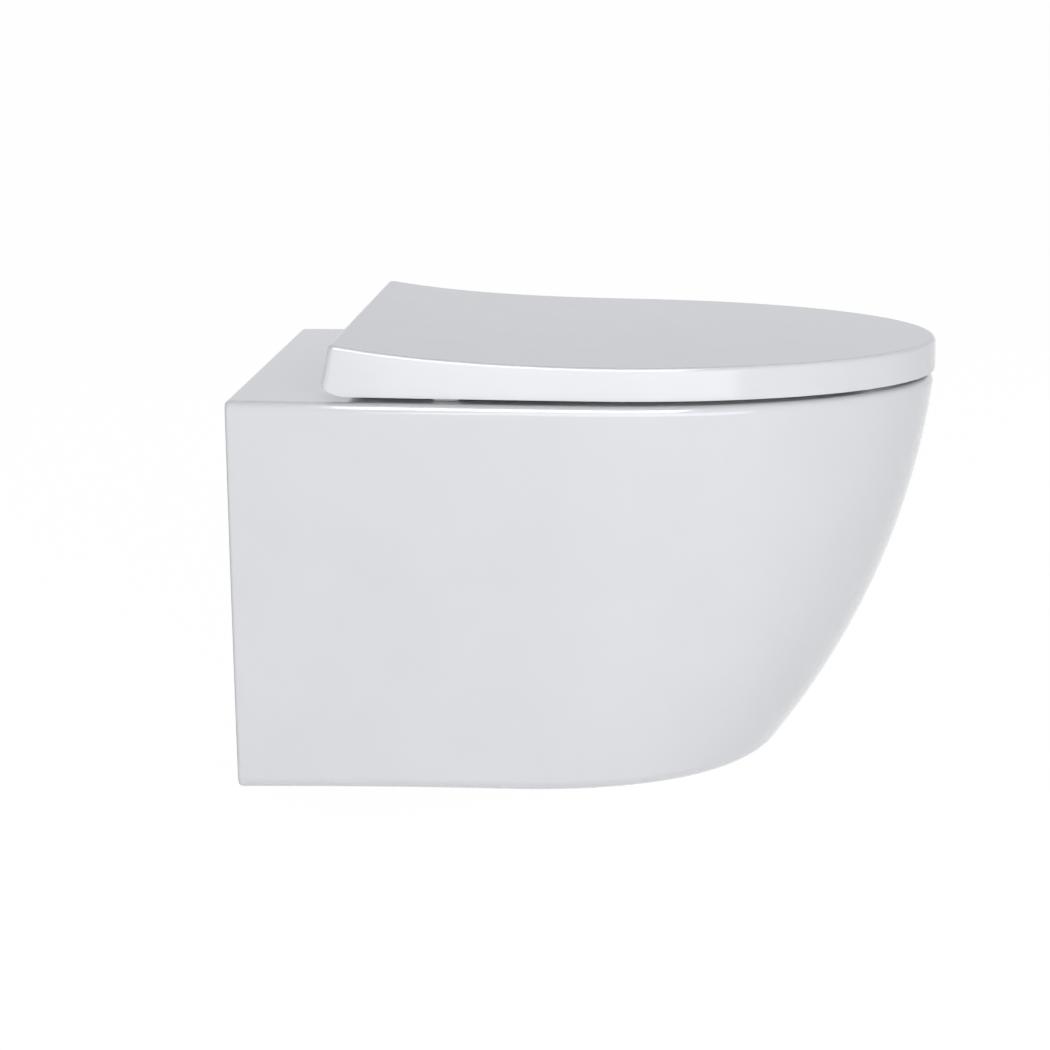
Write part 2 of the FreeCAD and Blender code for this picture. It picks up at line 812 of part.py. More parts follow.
# ---------------------------------------------------------------- lid
def lid_profile(top_wall, rear_wall, low=None):
    """The lid from the side, for its outside or, with walls and a low edge, for its hollow."""
    beyond_tip = deck_projection + past

    def at(from_wall, height):
        return Vector(0, -from_wall, deck + height)

    start = at(lid_rear_top + rear_wall, lid_top_rear - top_wall)
    flat = at(lid_flat_from, lid_top_front - top_wall)
    near = at(lid_slope_near[0] + rear_wall, lid_slope_near[1] - top_wall)
    far = at(lid_slope_far[0], lid_slope_far[1] - top_wall)
    end = at(beyond_tip, lid_top_front - top_wall)
    knee = at(lid_rear_low + rear_wall, lid_tuck_height)
    edges = [bezier(start, near, far, flat), Part.makeLine(flat, end)]
    if low is None:
        tuck_end = at(lid_rear_low + lid_tuck_length, lid_gap_rear)
        under = lid_tuck_height - lid_gap_rear
        handle = deck_fullness
        down = at(lid_rear_low, lid_tuck_height - handle * under)
        along = at(lid_rear_low + lid_tuck_length * (1 - handle), lid_gap_rear)
        front = at(beyond_tip, lid_gap_front)
        edges += [Part.makeLine(end, front), Part.makeLine(front, tuck_end)]
        edges.append(bezier(tuck_end, along, down, knee))
    else:
        front, back = at(beyond_tip, low), at(lid_rear_low + rear_wall, low)
        edges += [Part.makeLine(end, front), Part.makeLine(front, back), Part.makeLine(back, knee)]
    return Part.Wire(edges + [Part.makeLine(knee, start)])


def lid_plan(inset):
    """The lid's plan as an upright form that draws in towards its top."""
    back = lid_rear_low - past
    low = deck_outline(deck, inset - lid_overhang, back)
    high = deck_outline(deck + lid_top_rear + past, inset - lid_overhang + lid_draft, back)
    return loft([low, high], ruled=True)


def lid_outside():
    """The outer form of the lid with its edges rounded."""
    shape = lid_plan(0.0).common(extrude_x(lid_profile(0.0, 0.0), reach))
    rear = -lid_rear_top - 1
    tall = lid_tuck_height
    shape = rounded(shape, lid_corner_round, lambda p, b: p.y > rear and b.XLength < 5 and b.ZLength > tall)
    crest = deck + lid_top_front - 1
    return rounded(shape, lid_edge_round, lambda p, b: b.ZMin > crest)


def lid():
    """The wrap-over lid, with the opening for the hinges and its two lugs."""
    outside = lid_outside()
    inner_profile = lid_profile(lid_top_wall, lid_wall, low=-overlap)
    shape = outside.cut(lid_plan(lid_wall).common(extrude_x(inner_profile, reach)))
    notch = block(
        (-lid_notch_half_width, lid_notch_half_width),
        (-lid_rear_top - lid_wall - overlap, -lid_rear_low + overlap),
        (deck, deck + lid_notch_height),
    )
    notch = rounded(notch, lid_notch_corner, lambda p, b: b.YLength > 1 and p.z > deck + 1)
    shape = shape.cut(notch)
    holes = []
    for s in (left, right):
        near, far = lug_span(s * hinge_x, s)
        eye = disc_along(lug_radius, far - near, Vector(near, hinge_y, hinge_z), x_axis)
        root_depth = (hinge_y - lug_radius, hinge_y + lug_radius)
        root = block((near, far), root_depth, (hinge_z, deck + lid_top_rear))
        shape = joined(shape, eye, root.common(outside))
        holes.append(lug_holes(s * hinge_x, s))
    inner_top = lid_inner_top()
    for x, y in lid_buffer_places():
        radius = lid_buffer_radius + running_play
        holes.append(upright(radius, inner_top - overlap, inner_top + lid_buffer_recess, x, y))
    return shape.cut(holes)


def lid_inner_top():
    """The height of the flat inner face of the lid."""
    return deck + lid_top_front - lid_top_wall


# ---------------------------------------------------------------- seat
def nose_reach(x, half, front, widest):
    """How far an elliptical nose reaches from the wall, at x from the middle."""
    return widest + (front - widest) * math.sqrt(1 - (x / half) ** 2)


def deck_reach(x, inset=0.0):
    return nose_reach(x, deck_half_width - inset, deck_projection - inset, deck_widest)


def opening_reach(x, opening):
    return nose_reach(x, opening["half"], opening["front"], opening["widest"])


def lid_buffer_places():
    """Over the middle of the seat ring."""
    y = -(deck_reach(lid_buffer_front, seat_inset) + opening_reach(lid_buffer_front, seat_opening)) / 2
    x = (deck_half_width - seat_inset + seat_opening["half"]) / 2
    return [(s * px, py) for px, py in ((x, -lid_buffer_rear), (lid_buffer_front, y)) for s in (left, right)]


def soft_edged(buffers, low):
    """A compound of buffers with their lower edges rounded."""
    finished = [rounded(b, buffer_edge_round, lambda p, box: level(box, low)) for b in buffers]
    return Part.makeCompound(finished)


def lid_buffers():
    low, high = seat_top + lid_buffer_lift, lid_inner_top() + lid_buffer_recess
    buffers = [upright(lid_buffer_radius, low, high, x, y) for x, y in lid_buffer_places()]
    return soft_edged(buffers, low)


def seat_buffer_places():
    """Place and turn of each buffer under the seat: near its rear corners and along the front of the rim."""
    places = [(deck_half_width - seat_buffer_side, -seat_buffer_rear, 0.0)]
    front = seat_buffer_front
    y = -(deck_reach(front, deck_edge_round) + opening_reach(front, rim_opening) + rim_edge_round) / 2
    ahead = -deck_reach(front + 1) + deck_reach(front - 1)
    places.append((front, y, math.degrees(math.atan2(ahead, 2)) - 90))
    return [(s * px, py, s * turn) for px, py, turn in places for s in (left, right)]


def pad(x, y, turn, low, high, grow=0.0):
    """An oblong block with rounded corners, turned about its middle."""
    half_width, half_length = seat_buffer_half_width + grow, seat_buffer_half_length + grow
    shape = block((-half_width, half_width), (-half_length, half_length), (low, high))
    corner = seat_buffer_corner + grow
    shape = rounded(shape, corner, lambda p, b: b.ZLength > 0.5 * (high - low) and b.XLength < 0.01)
    shape.rotate(Vector(0, 0, 0), z_axis, turn)
    return shape.translated(Vector(x, y, 0))


def seat_buffers():
    low, high = deck + seat_buffer_lift, seat_low + seat_buffer_recess
    buffers = [pad(x, y, turn, low, high) for x, y, turn in seat_buffer_places()]
    return soft_edged(buffers, low)


def seat_plan(inset, low, high):
    """The plan of the seat without its opening, drawn in towards the top."""
    rear = seat_rear + inset - seat_inset
    wires = [deck_outline(low, inset, rear), deck_outline(high, inset + seat_draft, rear + seat_draft)]
    corner = max(seat_corner_round - (inset - seat_inset), 1.0)
    shape = loft(wires, ruled=True)
    return rounded(shape, corner, lambda p, b: b.ZLength > 0.9 * (high - low) and p.y > -rear - 5)


def seat_ring():
    """The seat, hollow underneath, with two lugs on its rear edge."""
    heights = (seat_low - overlap, seat_top + overlap)
    opening = loft([oval(z, grow=0.0, **seat_opening) for z in heights], ruled=True)
    shape = seat_plan(seat_inset, seat_low, seat_top).cut(opening)
    shape = rounded(shape, seat_inner_round, lambda p, b: level(b, seat_top) and within(b, seat_opening))
    shape = rounded(shape, seat_outer_round, lambda p, b: level(b, seat_top) and not within(b, seat_opening))
    shape = rounded(shape, seat_low_round, lambda p, b: level(b, seat_low))
    hollow_top = seat_low + seat_hollow_depth
    hollow = seat_plan(seat_inset + seat_hollow_wall, seat_low - overlap, hollow_top)
    heights = (seat_low - past, hollow_top + past)
    inner_wall = [oval(z, grow=seat_hollow_wall, **seat_opening) for z in heights]
    places = seat_buffer_places()
    bosses = [pad(x, y, turn, seat_low, hollow_top + overlap, seat_buffer_boss) for x, y, turn in places]
    shape = shape.cut(hollow.cut([loft(inner_wall, ruled=True)] + bosses))
    holes = []
    for s in (left, right):
        near, far = lug_span(s * hinge_x, -s)
        eye = disc_along(lug_radius, far - near, Vector(near, hinge_y, hinge_z), x_axis)
        arm = block(
            (near, far),
            (-seat_rear - seat_hollow_wall, hinge_y),
            (seat_top - seat_arm_height, seat_top),
        )
        shape = joined(shape, eye, arm)
        holes.append(lug_holes(s * hinge_x, -s))
    for x, y, turn in places:
        holes.append(pad(x, y, turn, seat_low - overlap, seat_low + seat_buffer_recess, running_play))
    return shape.cut(holes)


# ---------------------------------------------------------------- all pieces
def pieces():
    """Every piece by its name."""
    shapes = {
        "ceramic_pan": ceramic_pan(),
        "fixing_sleeves": both_fixings(fixing_sleeve),
        "fixing_washers": both_fixings(fixing_washer),
        "fixing_nuts": both_fixings(fixing_nut),
        "flush_inlet_seal": flush_inlet_seal(),
        "seat_ring": seat_ring(),
        "seat_buffers": seat_buffers(),
        "seat_damper_rotor": damper_rotor().translated(Vector(hinge_x, 0, 0)),
        "lid": lid(),
        "lid_buffers": lid_buffers(),
        "lid_damper_rotor": damper_rotor().translated(Vector(-hinge_x, 0, 0)),
    }
    hinge_pieces = {
        "post_gasket": post_gasket,
        "hinge_post": hinge_post,
        "expansion_plug": expansion_plug,
        "post_stud": post_stud,
        "plug_nut": plug_nut,
        "damper_barrel": damper_barrel,
        "barrel_end_cap": barrel_end_cap,
        "rotor_seal": rotor_seal,
        "idle_pin": idle_pin,
        "release_button": release_button,
        "button_spring": button_spring,
    }
    for name, make in hinge_pieces.items():
        for side, word in ((left, "left"), (right, "right")):
            shapes[f"{name}_{word}"] = make().translated(Vector(side * hinge_x, 0, 0))
    return shapes


def main():
    os.makedirs("parts", exist_ok=True)
    for name, shape in pieces().items():
        count = len(shape.Solids)
        solids = Part.makeCompound(shape.Solids) if count > 1 else shape.Solids[0]
        solids.exportStep(f"parts/{name}.step")
        print(f"{name}: {count} solid(s), {solids.Volume / 1000:.2f} cm3, valid {solids.isValid()}")


main()
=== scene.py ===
import json
import math

import bmesh
import bpy
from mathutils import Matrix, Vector


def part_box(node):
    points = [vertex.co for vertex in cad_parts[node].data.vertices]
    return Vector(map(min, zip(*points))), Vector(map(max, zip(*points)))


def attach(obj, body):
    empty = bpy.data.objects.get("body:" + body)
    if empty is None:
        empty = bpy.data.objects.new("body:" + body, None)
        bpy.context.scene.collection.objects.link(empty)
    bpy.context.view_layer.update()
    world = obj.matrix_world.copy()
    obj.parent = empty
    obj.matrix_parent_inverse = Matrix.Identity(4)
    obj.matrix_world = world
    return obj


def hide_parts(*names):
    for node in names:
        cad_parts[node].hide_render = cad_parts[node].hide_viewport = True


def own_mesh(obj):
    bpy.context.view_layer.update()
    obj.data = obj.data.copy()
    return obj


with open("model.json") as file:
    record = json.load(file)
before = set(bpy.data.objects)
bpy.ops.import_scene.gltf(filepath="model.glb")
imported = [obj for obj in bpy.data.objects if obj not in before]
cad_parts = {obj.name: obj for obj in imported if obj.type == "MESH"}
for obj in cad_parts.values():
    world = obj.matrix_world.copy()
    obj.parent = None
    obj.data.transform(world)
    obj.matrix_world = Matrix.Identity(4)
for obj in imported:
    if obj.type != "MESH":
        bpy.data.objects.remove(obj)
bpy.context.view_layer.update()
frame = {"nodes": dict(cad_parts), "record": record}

# sizes are in mm unless a note says otherwise, with y counted from the wall
mm = 0.001
nearZero = 0.00001  # metres that count as nothing
arcHandle = 0.5523  # handle of a quarter circle, as a share of its radius
planSteps, ovalSteps, rodSides = 20, 45, 64  # along a stretch of an outline, and round a rod
fineRound, evenRound, smallRound, thinRound = 8, 6, 4, 3  # steps of a quarter round
past, farPast = 5.0, 6.0  # how far a cutter passes a face, and how far what shapes the cutter does
leastCorner = 1.5  # round of a rear corner that is moved inwards


# selecting, applying and finishing

def deselectAll():
    if bpy.context.object and bpy.context.object.mode != "OBJECT":
        bpy.ops.object.mode_set(mode="OBJECT")
    bpy.ops.object.select_all(action="DESELECT")


def selectOnly(pieces):
    deselectAll()
    for piece in pieces:
        piece.select_set(True)
    bpy.context.view_layer.objects.active = pieces[0]


def applyModifier(piece, kind, **settings):
    selectOnly([piece])
    modifier = piece.modifiers.new(kind.lower(), kind)
    for name, value in settings.items():
        setattr(modifier, name, value)
    bpy.ops.object.modifier_apply(modifier=modifier.name)


def cutWith(piece, cutter, operation="DIFFERENCE"):
    applyModifier(piece, "BOOLEAN", object=cutter, operation=operation, solver="MANIFOLD")
    bpy.data.objects.remove(cutter)


def joinPieces(name, pieces):
    selectOnly(pieces)
    bpy.ops.object.join()
    piece = bpy.context.object
    piece.name = name
    bpy.ops.object.transform_apply(location=True, rotation=True, scale=True)
    return piece


def faceOutwards(piece):
    selectOnly([piece])
    bpy.ops.object.mode_set(mode="EDIT")
    bpy.ops.mesh.select_all(action="SELECT")
    bpy.ops.mesh.remove_doubles(threshold=nearZero)
    bpy.ops.mesh.normals_make_consistent(inside=False)
    bpy.ops.object.mode_set(mode="OBJECT")


def smoothShade(piece, angle=32):
    # the large flat faces keep their own direction right up to the rounding beside them
    selectOnly([piece])
    bpy.ops.object.shade_smooth_by_angle(angle=math.radians(angle))
    applyModifier(piece, "WEIGHTED_NORMAL", keep_sharp=True)


# flat outlines, drawn as bezier curves and turned into rings of vertices

def addRing(points, height, resolution, number):
    deselectAll()
    bpy.ops.curve.primitive_bezier_circle_add()
    ring = bpy.context.object
    spline = ring.data.splines[0]
    spline.resolution_u = resolution
    spline.bezier_points.add(len(points) - len(spline.bezier_points))
    for spot, (place, before, after) in zip(spline.bezier_points, points):
        spot.handle_left_type = spot.handle_right_type = "FREE"
        spot.co = (place[0] * mm, place[1] * mm, 0)
        spot.handle_left = (before[0] * mm, before[1] * mm, 0)
        spot.handle_right = (after[0] * mm, after[1] * mm, 0)
    bpy.ops.object.convert(target="MESH")
    ring = bpy.context.object
    for vertex in ring.data.vertices:
        vertex.co.z = height(-vertex.co.y / mm) * mm
    layer = ring.data.attributes.new("ring", "INT", "POINT")
    layer.data.foreach_set("value", [number] * len(ring.data.vertices))
    return ring


def mixPoints(a, b, share):
    return (a[0] + (b[0] - a[0]) * share, a[1] + (b[1] - a[1]) * share)


def planPoints(plan, back, inset, corner, split):
    # straight back, rounded rear corners, bowed sides and a full nose
    # each side has one point more, at split from the wall
    half, atWall, widest, front, fullness = plan
    side, tip = half - inset, front - inset
    bow = (half - atWall) * (1 - back / widest) ** 2
    start, pull, middle = (side - bow, -back), (side, -(back + widest) / 2), (side, -widest)

    def onSide(share):
        return mixPoints(mixPoints(start, pull, share), mixPoints(pull, middle, share), share)

    def handles(first, last):
        # of the stretch of the side between two shares
        inner = mixPoints(mixPoints(start, pull, first), mixPoints(pull, middle, first), last)
        return mixPoints(onSide(first), inner, 2 / 3), mixPoints(onSide(last), inner, 2 / 3)

    turn, stop = corner / (widest - back), (split - back) / (widest - back)
    edge, mid = onSide(turn), onSide(stop)
    outA, inA = handles(turn, stop)
    outB, inB = handles(stop, 1)
    rear = (start[0] - corner, -back)
    right = [
        (rear, (rear[0] / 3, -back), (rear[0] + arcHandle * corner, -back)),
        (edge, (edge[0], edge[1] + arcHandle * corner), outA),
        (mid, inA, outB),
        (middle, inB, (side, -(widest + fullness * (tip - widest)))),
    ]
    nose = ((0, -tip), (fullness * side, -tip), (-fullness * side, -tip))
    left = [tuple((-x, y) for x, y in (place, after, before))
            for place, before, after in right[::-1]]
    return right + [nose] + left


def ovalPoints(oval, grow):
    half, rear, front, widest = oval[0] + grow, oval[1] - grow, oval[2] + grow, oval[3]
    ahead, behind = arcHandle * (front - widest), arcHandle * (widest - rear)
    across = arcHandle * half
    return [
        ((0, -rear), (-across, -rear), (across, -rear)),
        ((half, -widest), (half, -widest + behind), (half, -widest - ahead)),
        ((0, -front), (across, -front), (-across, -front)),
        ((-half, -widest), (-half, -widest - ahead), (-half, -widest + behind)),
    ]


def selectRings(piece, numbers, test=lambda a, b: True):
    mesh = bmesh.from_edit_mesh(piece.data)
    layer = mesh.verts.layers.int["ring"]
    for edge in mesh.edges:
        first, second = edge.verts
        same = first[layer] == second[layer] and first[layer] in numbers
        edge.select = same and test(first.co, second.co)
    bmesh.update_edit_mesh(piece.data)


def capAcross(piece, number):
    # strips from side to side, so that a cap can follow a height that changes from rear to front
    mesh = bmesh.from_edit_mesh(piece.data)
    layer = mesh.verts.layers.int["ring"]
    rear = max(v.co.y for v in mesh.verts if v[layer] == number) - nearZero

    def alongSide(a, b):
        return min(abs(a.x), abs(b.x)) > nearZero and max(a.y, b.y) < rear

    selectRings(piece, (number,), alongSide)
    bpy.ops.mesh.bridge_edge_loops()
    selectRings(piece, (number,))
    bpy.ops.mesh.fill_holes(sides=0)


def bridgeRings(name, rings, across=False):
    # joins rings in their order, and caps the first and the last
    piece = joinPieces(name, rings)
    last = len(rings) - 1
    bpy.ops.object.mode_set(mode="EDIT")
    bpy.ops.mesh.select_mode(type="EDGE")
    for number in range(last):
        selectRings(piece, (number, number + 1))
        bpy.ops.mesh.bridge_edge_loops()
    for number in (0, last):
        if across:
            capAcross(piece, number)
        else:
            selectRings(piece, (number,))
            bpy.ops.mesh.edge_face_add()
    bpy.ops.object.mode_set(mode="OBJECT")
    faceOutwards(piece)
    return piece


def roundSteps(radius, steps):
    # how far in and how far down a quarter round goes, from its side to its top
    angles = [math.pi / 2 * i / steps for i in range(steps + 1)]
    return [(radius * (1 - math.cos(a)), radius * (1 - math.sin(a))) for a in angles]


def evenSteps(first, last, count):
    return [first + (last - first) * i / count for i in range(count + 1)]


# ceramic pan
# a plan is half its width, half its width at the wall, where it is widest, its tip and how full
# its nose is; an oval is half its width, its rear, its front and where it is widest

pan = dict(
    deck=80.0, foot=-223.0,
    deckPlan=(180.0, 175.5, 267.0, 530.0, 0.5523), footPlan=(159.5, 168.0, 205.0, 408.0, 0.60),
    noseLean=5.5, sideLean=0.5, sideRun=20.0, skirtRings=16,
    deckRound=7.0, footRound=12.0, wallRound=3.0,
    skirtWall=11.0, deckWall=13.0, footWall=12.0, bowlWall=10.0,
    rim=(139.0, 172.0, 492.0, 305.0), rimDepth=42.0, rimRound=7.0, undercut=2.0,
    ledge=13.0, ledgeRound=4.0, ledgeFall=0.3, lipFall=2.0,
    bowl=[  # a height, and the oval there
        (38.0, 128.0, 183.0, 481.0, 305.0),
        (0.0, 117.0, 194.0, 466.0, 302.0),
        (-45.0, 99.0, 212.0, 432.0, 300.0),
        (-90.0, 75.0, 230.0, 388.0, 298.0),
        (-135.0, 52.0, 244.0, 346.0, 293.0),
        (-175.0, 40.0, 252.0, 326.0, 288.0),
        (-210.5, 28.0, 262.0, 312.0, 286.0),
    ],
    bowlRings=26, sumpRise=2.5, sumpEdge=[(2.5, 0.3), (8.0, 0.0)], sumpOval=0.1,
    trapBore=33.0, trapWall=9.0, trapBends=(55.0, 48.0, 58.0), trapSteps=14,
    trapCorners=[(285.0, -179.0), (208.0, -179.0), (128.0, -26.0), (62.0, -100.0), (25.0, -100.0)],
    trapStart=10.0, trapStraight=1.0, trapEnd=3.0,
    outlet=-100.0, outletRadius=51.0, outletBore=43.0, outletLength=46.0, outletStraight=14.0,
    outletCone=22.0, pipeSides=96,
    inlet=35.0, inletBore=27.5, inletRadius=36.0, inletLength=128.0, inletEnd=8.0,
    chamberHalf=50.0, chamberHeight=24.0, chamberRear=118.0, chamberFront=180.0, chamberWall=8.0,
    splitterHalf=20.0, splitterRear=160.0,
    fixings=90.0, fixingHole=11.2, bossDepth=26.0, bossHalf=30.0, bossInner=58.0,
    windowHalf=39.0, windowTop=-8.0,
    hinges=77.5, hingeFromWall=89.0, deckHole=7.5, handHole=(34.0, 30.0, 112.0), handHoleRound=14.0,
)


def leanIn(drop, total, lean):
    # how far a side has come in at a drop below the deck, on an arc that starts at a lean
    height = pan["deck"] - pan["foot"]
    first = math.radians(lean)
    last = 2 * math.atan(total / height) - first
    radius = height / (math.sin(last) - math.sin(first))
    return radius * (math.cos(first) - math.cos(math.asin(math.sin(first) + drop / radius)))


def panPlan(z):
    drop = pan["deck"] - z
    share = drop / (pan["deck"] - pan["foot"])
    half, atWall, widest, front, fullness = pan["deckPlan"]
    lowHalf, lowAtWall, lowWidest, lowFront, lowFullness = pan["footPlan"]
    return (
        half - leanIn(drop, half - lowHalf, pan["sideLean"]),
        atWall - leanIn(drop, atWall - lowAtWall, pan["sideLean"]),
        widest + (lowWidest - widest) * share,
        front - leanIn(drop, front - lowFront, pan["noseLean"]),
        fullness + (lowFullness - fullness) * share,
    )


def panRing(z, inset, number, back=None):
    turn = pan["wallRound"]
    if back is None:
        # the face against the wall has a small round along its top and bottom
        into = max(z - pan["deck"] + turn, pan["foot"] + turn - z, 0)
        back = turn - math.sqrt(max(turn ** 2 - into ** 2, 0))
    points = planPoints(panPlan(z), back, inset, turn, back + turn + pan["sideRun"])
    return addRing(points, lambda y: z, planSteps, number)


def ovalRing(oval, grow, z, number):
    return addRing(ovalPoints(oval, grow), lambda y: z, ovalSteps, number)


def bowlOval(z):
    # an even curve through the sections of the bowl
    levels = pan["bowl"]
    last = len(levels) - 1
    i = max(k for k in range(last) if levels[k][0] >= z)
    before, a, b, after = (levels[min(max(k, 0), last)] for k in range(i - 1, i + 3))
    span = b[0] - a[0]
    t = (z - a[0]) / span
    values = []
    for k in range(1, len(a)):
        slopeA = (b[k] - before[k]) / (b[0] - before[0]) * span
        slopeB = (after[k] - a[k]) / (after[0] - a[0]) * span
        values.append((2 * t ** 3 - 3 * t ** 2 + 1) * a[k] + (t ** 3 - 2 * t ** 2 + t) * slopeA
                      + (3 * t ** 2 - 2 * t ** 3) * b[k] + (t ** 3 - t ** 2) * slopeB)
    return values


def addPanBody():
    # skin, foot and deck as one closed form
    deck, foot = pan["deck"], pan["foot"]
    start, end = foot + pan["footRound"], deck - pan["deckRound"]
    rings = []
    for inset, drop in roundSteps(pan["footRound"], fineRound)[::-1]:
        rings.append(panRing(foot + drop, inset, len(rings)))
    for z in evenSteps(start, end, pan["skirtRings"])[1:-1]:
        rings.append(panRing(z, 0, len(rings)))
    for inset, drop in roundSteps(pan["deckRound"], fineRound):
        rings.append(panRing(deck - drop, inset, len(rings)))
    return bridgeRings("ceramicPan", rings)


def addBowlRoom():
    # what the rim and the bowl hold, from just over the deck down to the floor of the sump
    deck, rim, floor = pan["deck"], pan["rim"], pan["bowl"][-1][0]
    rings = [ovalRing(rim, pan["rimRound"], deck + past, 0)]
    for outward, drop in roundSteps(pan["rimRound"], fineRound)[::-1]:
        rings.append(ovalRing(rim, outward, deck - drop, len(rings)))
    ledge, turn = deck - pan["rimDepth"], pan["ledgeRound"]
    for inward, drop in roundSteps(turn, smallRound):
        rings.append(ovalRing(rim, pan["undercut"] - inward, ledge + drop, len(rings)))
    lip, low = pan["undercut"] - pan["ledge"], ledge - pan["ledgeFall"]
    for inward, drop in roundSteps(turn, smallRound)[::-1]:
        rings.append(ovalRing(rim, lip + inward, low - drop, len(rings)))
    for z in evenSteps(low - turn - pan["lipFall"], floor + pan["sumpRise"], pan["bowlRings"]):
        rings.append(ovalRing(bowlOval(z), 0, z, len(rings)))
    for inward, rise in pan["sumpEdge"]:
        sump = bowlOval(floor + pan["sumpOval"])
        rings.append(ovalRing(sump, -inward, floor + rise, len(rings)))
    return bridgeRings("bowlRoom", rings)


def addRod(radius, length, start, axis, sides=rodSides):
    # a cylinder from start along an axis
    deselectAll()
    direction = Vector(axis)
    place = (Vector(start) + direction * length / 2) * mm
    bpy.ops.mesh.primitive_cylinder_add(
        vertices=sides, radius=radius * mm, depth=length * mm, location=place,
        rotation=direction.to_track_quat("Z", "Y").to_euler())
    piece = bpy.context.object
    bpy.ops.object.transform_apply(location=True, rotation=True, scale=True)
    return piece


def addPipe(radius, length, start, height):
    # a rod straight in from the wall's side
    return addRod(radius, length, (0, start, height), (0, -1, 0), pan["pipeSides"])


def roundEdges(piece, radius, steps, test):
    selectOnly([piece])
    bpy.ops.object.mode_set(mode="EDIT")
    bpy.ops.mesh.select_mode(type="EDGE")
    mesh = bmesh.from_edit_mesh(piece.data)
    for edge in mesh.edges:
        edge.select = test(edge.verts[0].co, edge.verts[1].co)
    bmesh.update_edit_mesh(piece.data)
    bpy.ops.mesh.bevel(offset=radius * mm, segments=steps, affect="EDGES", profile=0.5)
    bpy.ops.object.mode_set(mode="OBJECT")


def addBlock(low, high, corner=0.0, axis=2):
    # a box between two corners, with the four edges along an axis rounded
    deselectAll()
    low, high = Vector(low) * mm, Vector(high) * mm
    bpy.ops.mesh.primitive_cube_add(size=1, location=(low + high) / 2, scale=high - low)
    piece = bpy.context.object
    bpy.ops.object.transform_apply(location=True, rotation=True, scale=True)
    if corner:
        roundEdges(piece, corner, fineRound, lambda a, b: abs((a - b)[axis]) > nearZero)
    return piece


def addTrap(radius):
    # straight runs and round bends in the middle plane, each with the handles of its arc
    deselectAll()
    corners = [Vector((0, -y, z)) for y, z in pan["trapCorners"]]
    firstPull, straight, lastPull = pan["trapStart"], pan["trapStraight"], pan["trapEnd"]
    stations = [(corners[0], (corners[1] - corners[0]).normalized(), firstPull, firstPull)]
    for before, corner, after, bend in zip(corners, corners[1:], corners[2:], pan["trapBends"]):
        inward, outward = (corner - before).normalized(), (after - corner).normalized()
        turn = inward.angle(outward)
        run, pull = bend * math.tan(turn / 2), 4 / 3 * bend * math.tan(turn / 4)
        stations.append((corner - inward * run, inward, straight, pull))
        stations.append((corner + outward * run, outward, pull, straight))
    stations.append((corners[-1], (corners[-1] - corners[-2]).normalized(), lastPull, lastPull))
    bpy.ops.curve.primitive_bezier_curve_add()
    path = bpy.context.object
    spline = path.data.splines[0]
    spline.bezier_points.add(len(stations) - len(spline.bezier_points))
    for spot, (place, heading, before, after) in zip(spline.bezier_points, stations):
        spot.handle_left_type = spot.handle_right_type = "FREE"
        spot.co = place * mm
        spot.handle_left = (place - heading * before) * mm
        spot.handle_right = (place + heading * after) * mm
    path.data.resolution_u = spline.resolution_u = pan["trapSteps"]
    path.data.bevel_depth = radius * mm
    path.data.bevel_resolution = pan["trapSteps"]
    path.data.use_fill_caps = True
    bpy.ops.object.convert(target="MESH")
    piece = bpy.context.object
    faceOutwards(piece)
    return piece


def keepBowlWall(hollow, low, ledge):
    # the rim and the bowl up to their outsides, down to the foot
    deck, grow, floor = pan["deck"], pan["bowlWall"], pan["bowl"][-1][0]
    rings = [ovalRing(pan["rim"], pan["undercut"] + grow, z, i)
             for i, z in enumerate((deck - 1, ledge - grow))]
    cutWith(hollow, bridgeRings("rimBack", rings))
    rings = [ovalRing(bowlOval(z), grow, z, i)
             for i, z in enumerate(evenSteps(ledge, floor, pan["bowlRings"]))]
    rings.append(ovalRing(bowlOval(floor), grow, low - past, len(rings)))
    cutWith(hollow, bridgeRings("bowlBack", rings))


def keepWallBosses(hollow):
    # a block round each wall fixing and a web between them, with a window for the waste pipe
    inner, depth, half = pan["bossInner"], pan["bossDepth"], pan["bossHalf"]
    for side in (-1, 1):
        ends = sorted((side * inner, side * (pan["deckPlan"][0] + past)))
        cutWith(hollow, addBlock((ends[0], -depth, -half), (ends[1], farPast, half)))
    web = addBlock((-inner - 1, -depth, -half), (inner + 1, farPast, pan["deck"] - 1))
    window, room = pan["windowHalf"], 2 * farPast
    low, high = (-window, -depth - room, -half - room), (window, room, pan["windowTop"])
    cutWith(web, addBlock(low, high))
    cutWith(hollow, web)


def addHollow():
    # the room between the skirt and the bowl, open towards the wall
    deck, skirt, wall = pan["deck"], pan["skirtWall"], pan["chamberWall"]
    low, high, ledge = pan["foot"] + pan["footWall"], deck - pan["deckWall"], deck - pan["rimDepth"]
    rings = [panRing(z, skirt, i, back=-past)
             for i, z in enumerate(evenSteps(low, high, pan["skirtRings"]))]
    hollow = bridgeRings("hollow", rings)
    keepBowlWall(hollow, low, ledge)
    cutWith(hollow, addTrap(pan["trapBore"] + pan["trapWall"]))
    for radius, length, height in (
            (pan["outletRadius"], pan["outletLength"], pan["outlet"]),
            (pan["inletRadius"], pan["inletLength"] + pan["inletEnd"], pan["inlet"])):
        cutWith(hollow, addPipe(radius, length + farPast, farPast, height))
    half = pan["chamberHalf"] + wall
    front, rear = -pan["rim"][1] - 1, wall - pan["chamberRear"]
    cutWith(hollow, addBlock((-half, front, ledge - wall), (half, rear, deck - 1)))
    keepWallBosses(hollow)
    return hollow


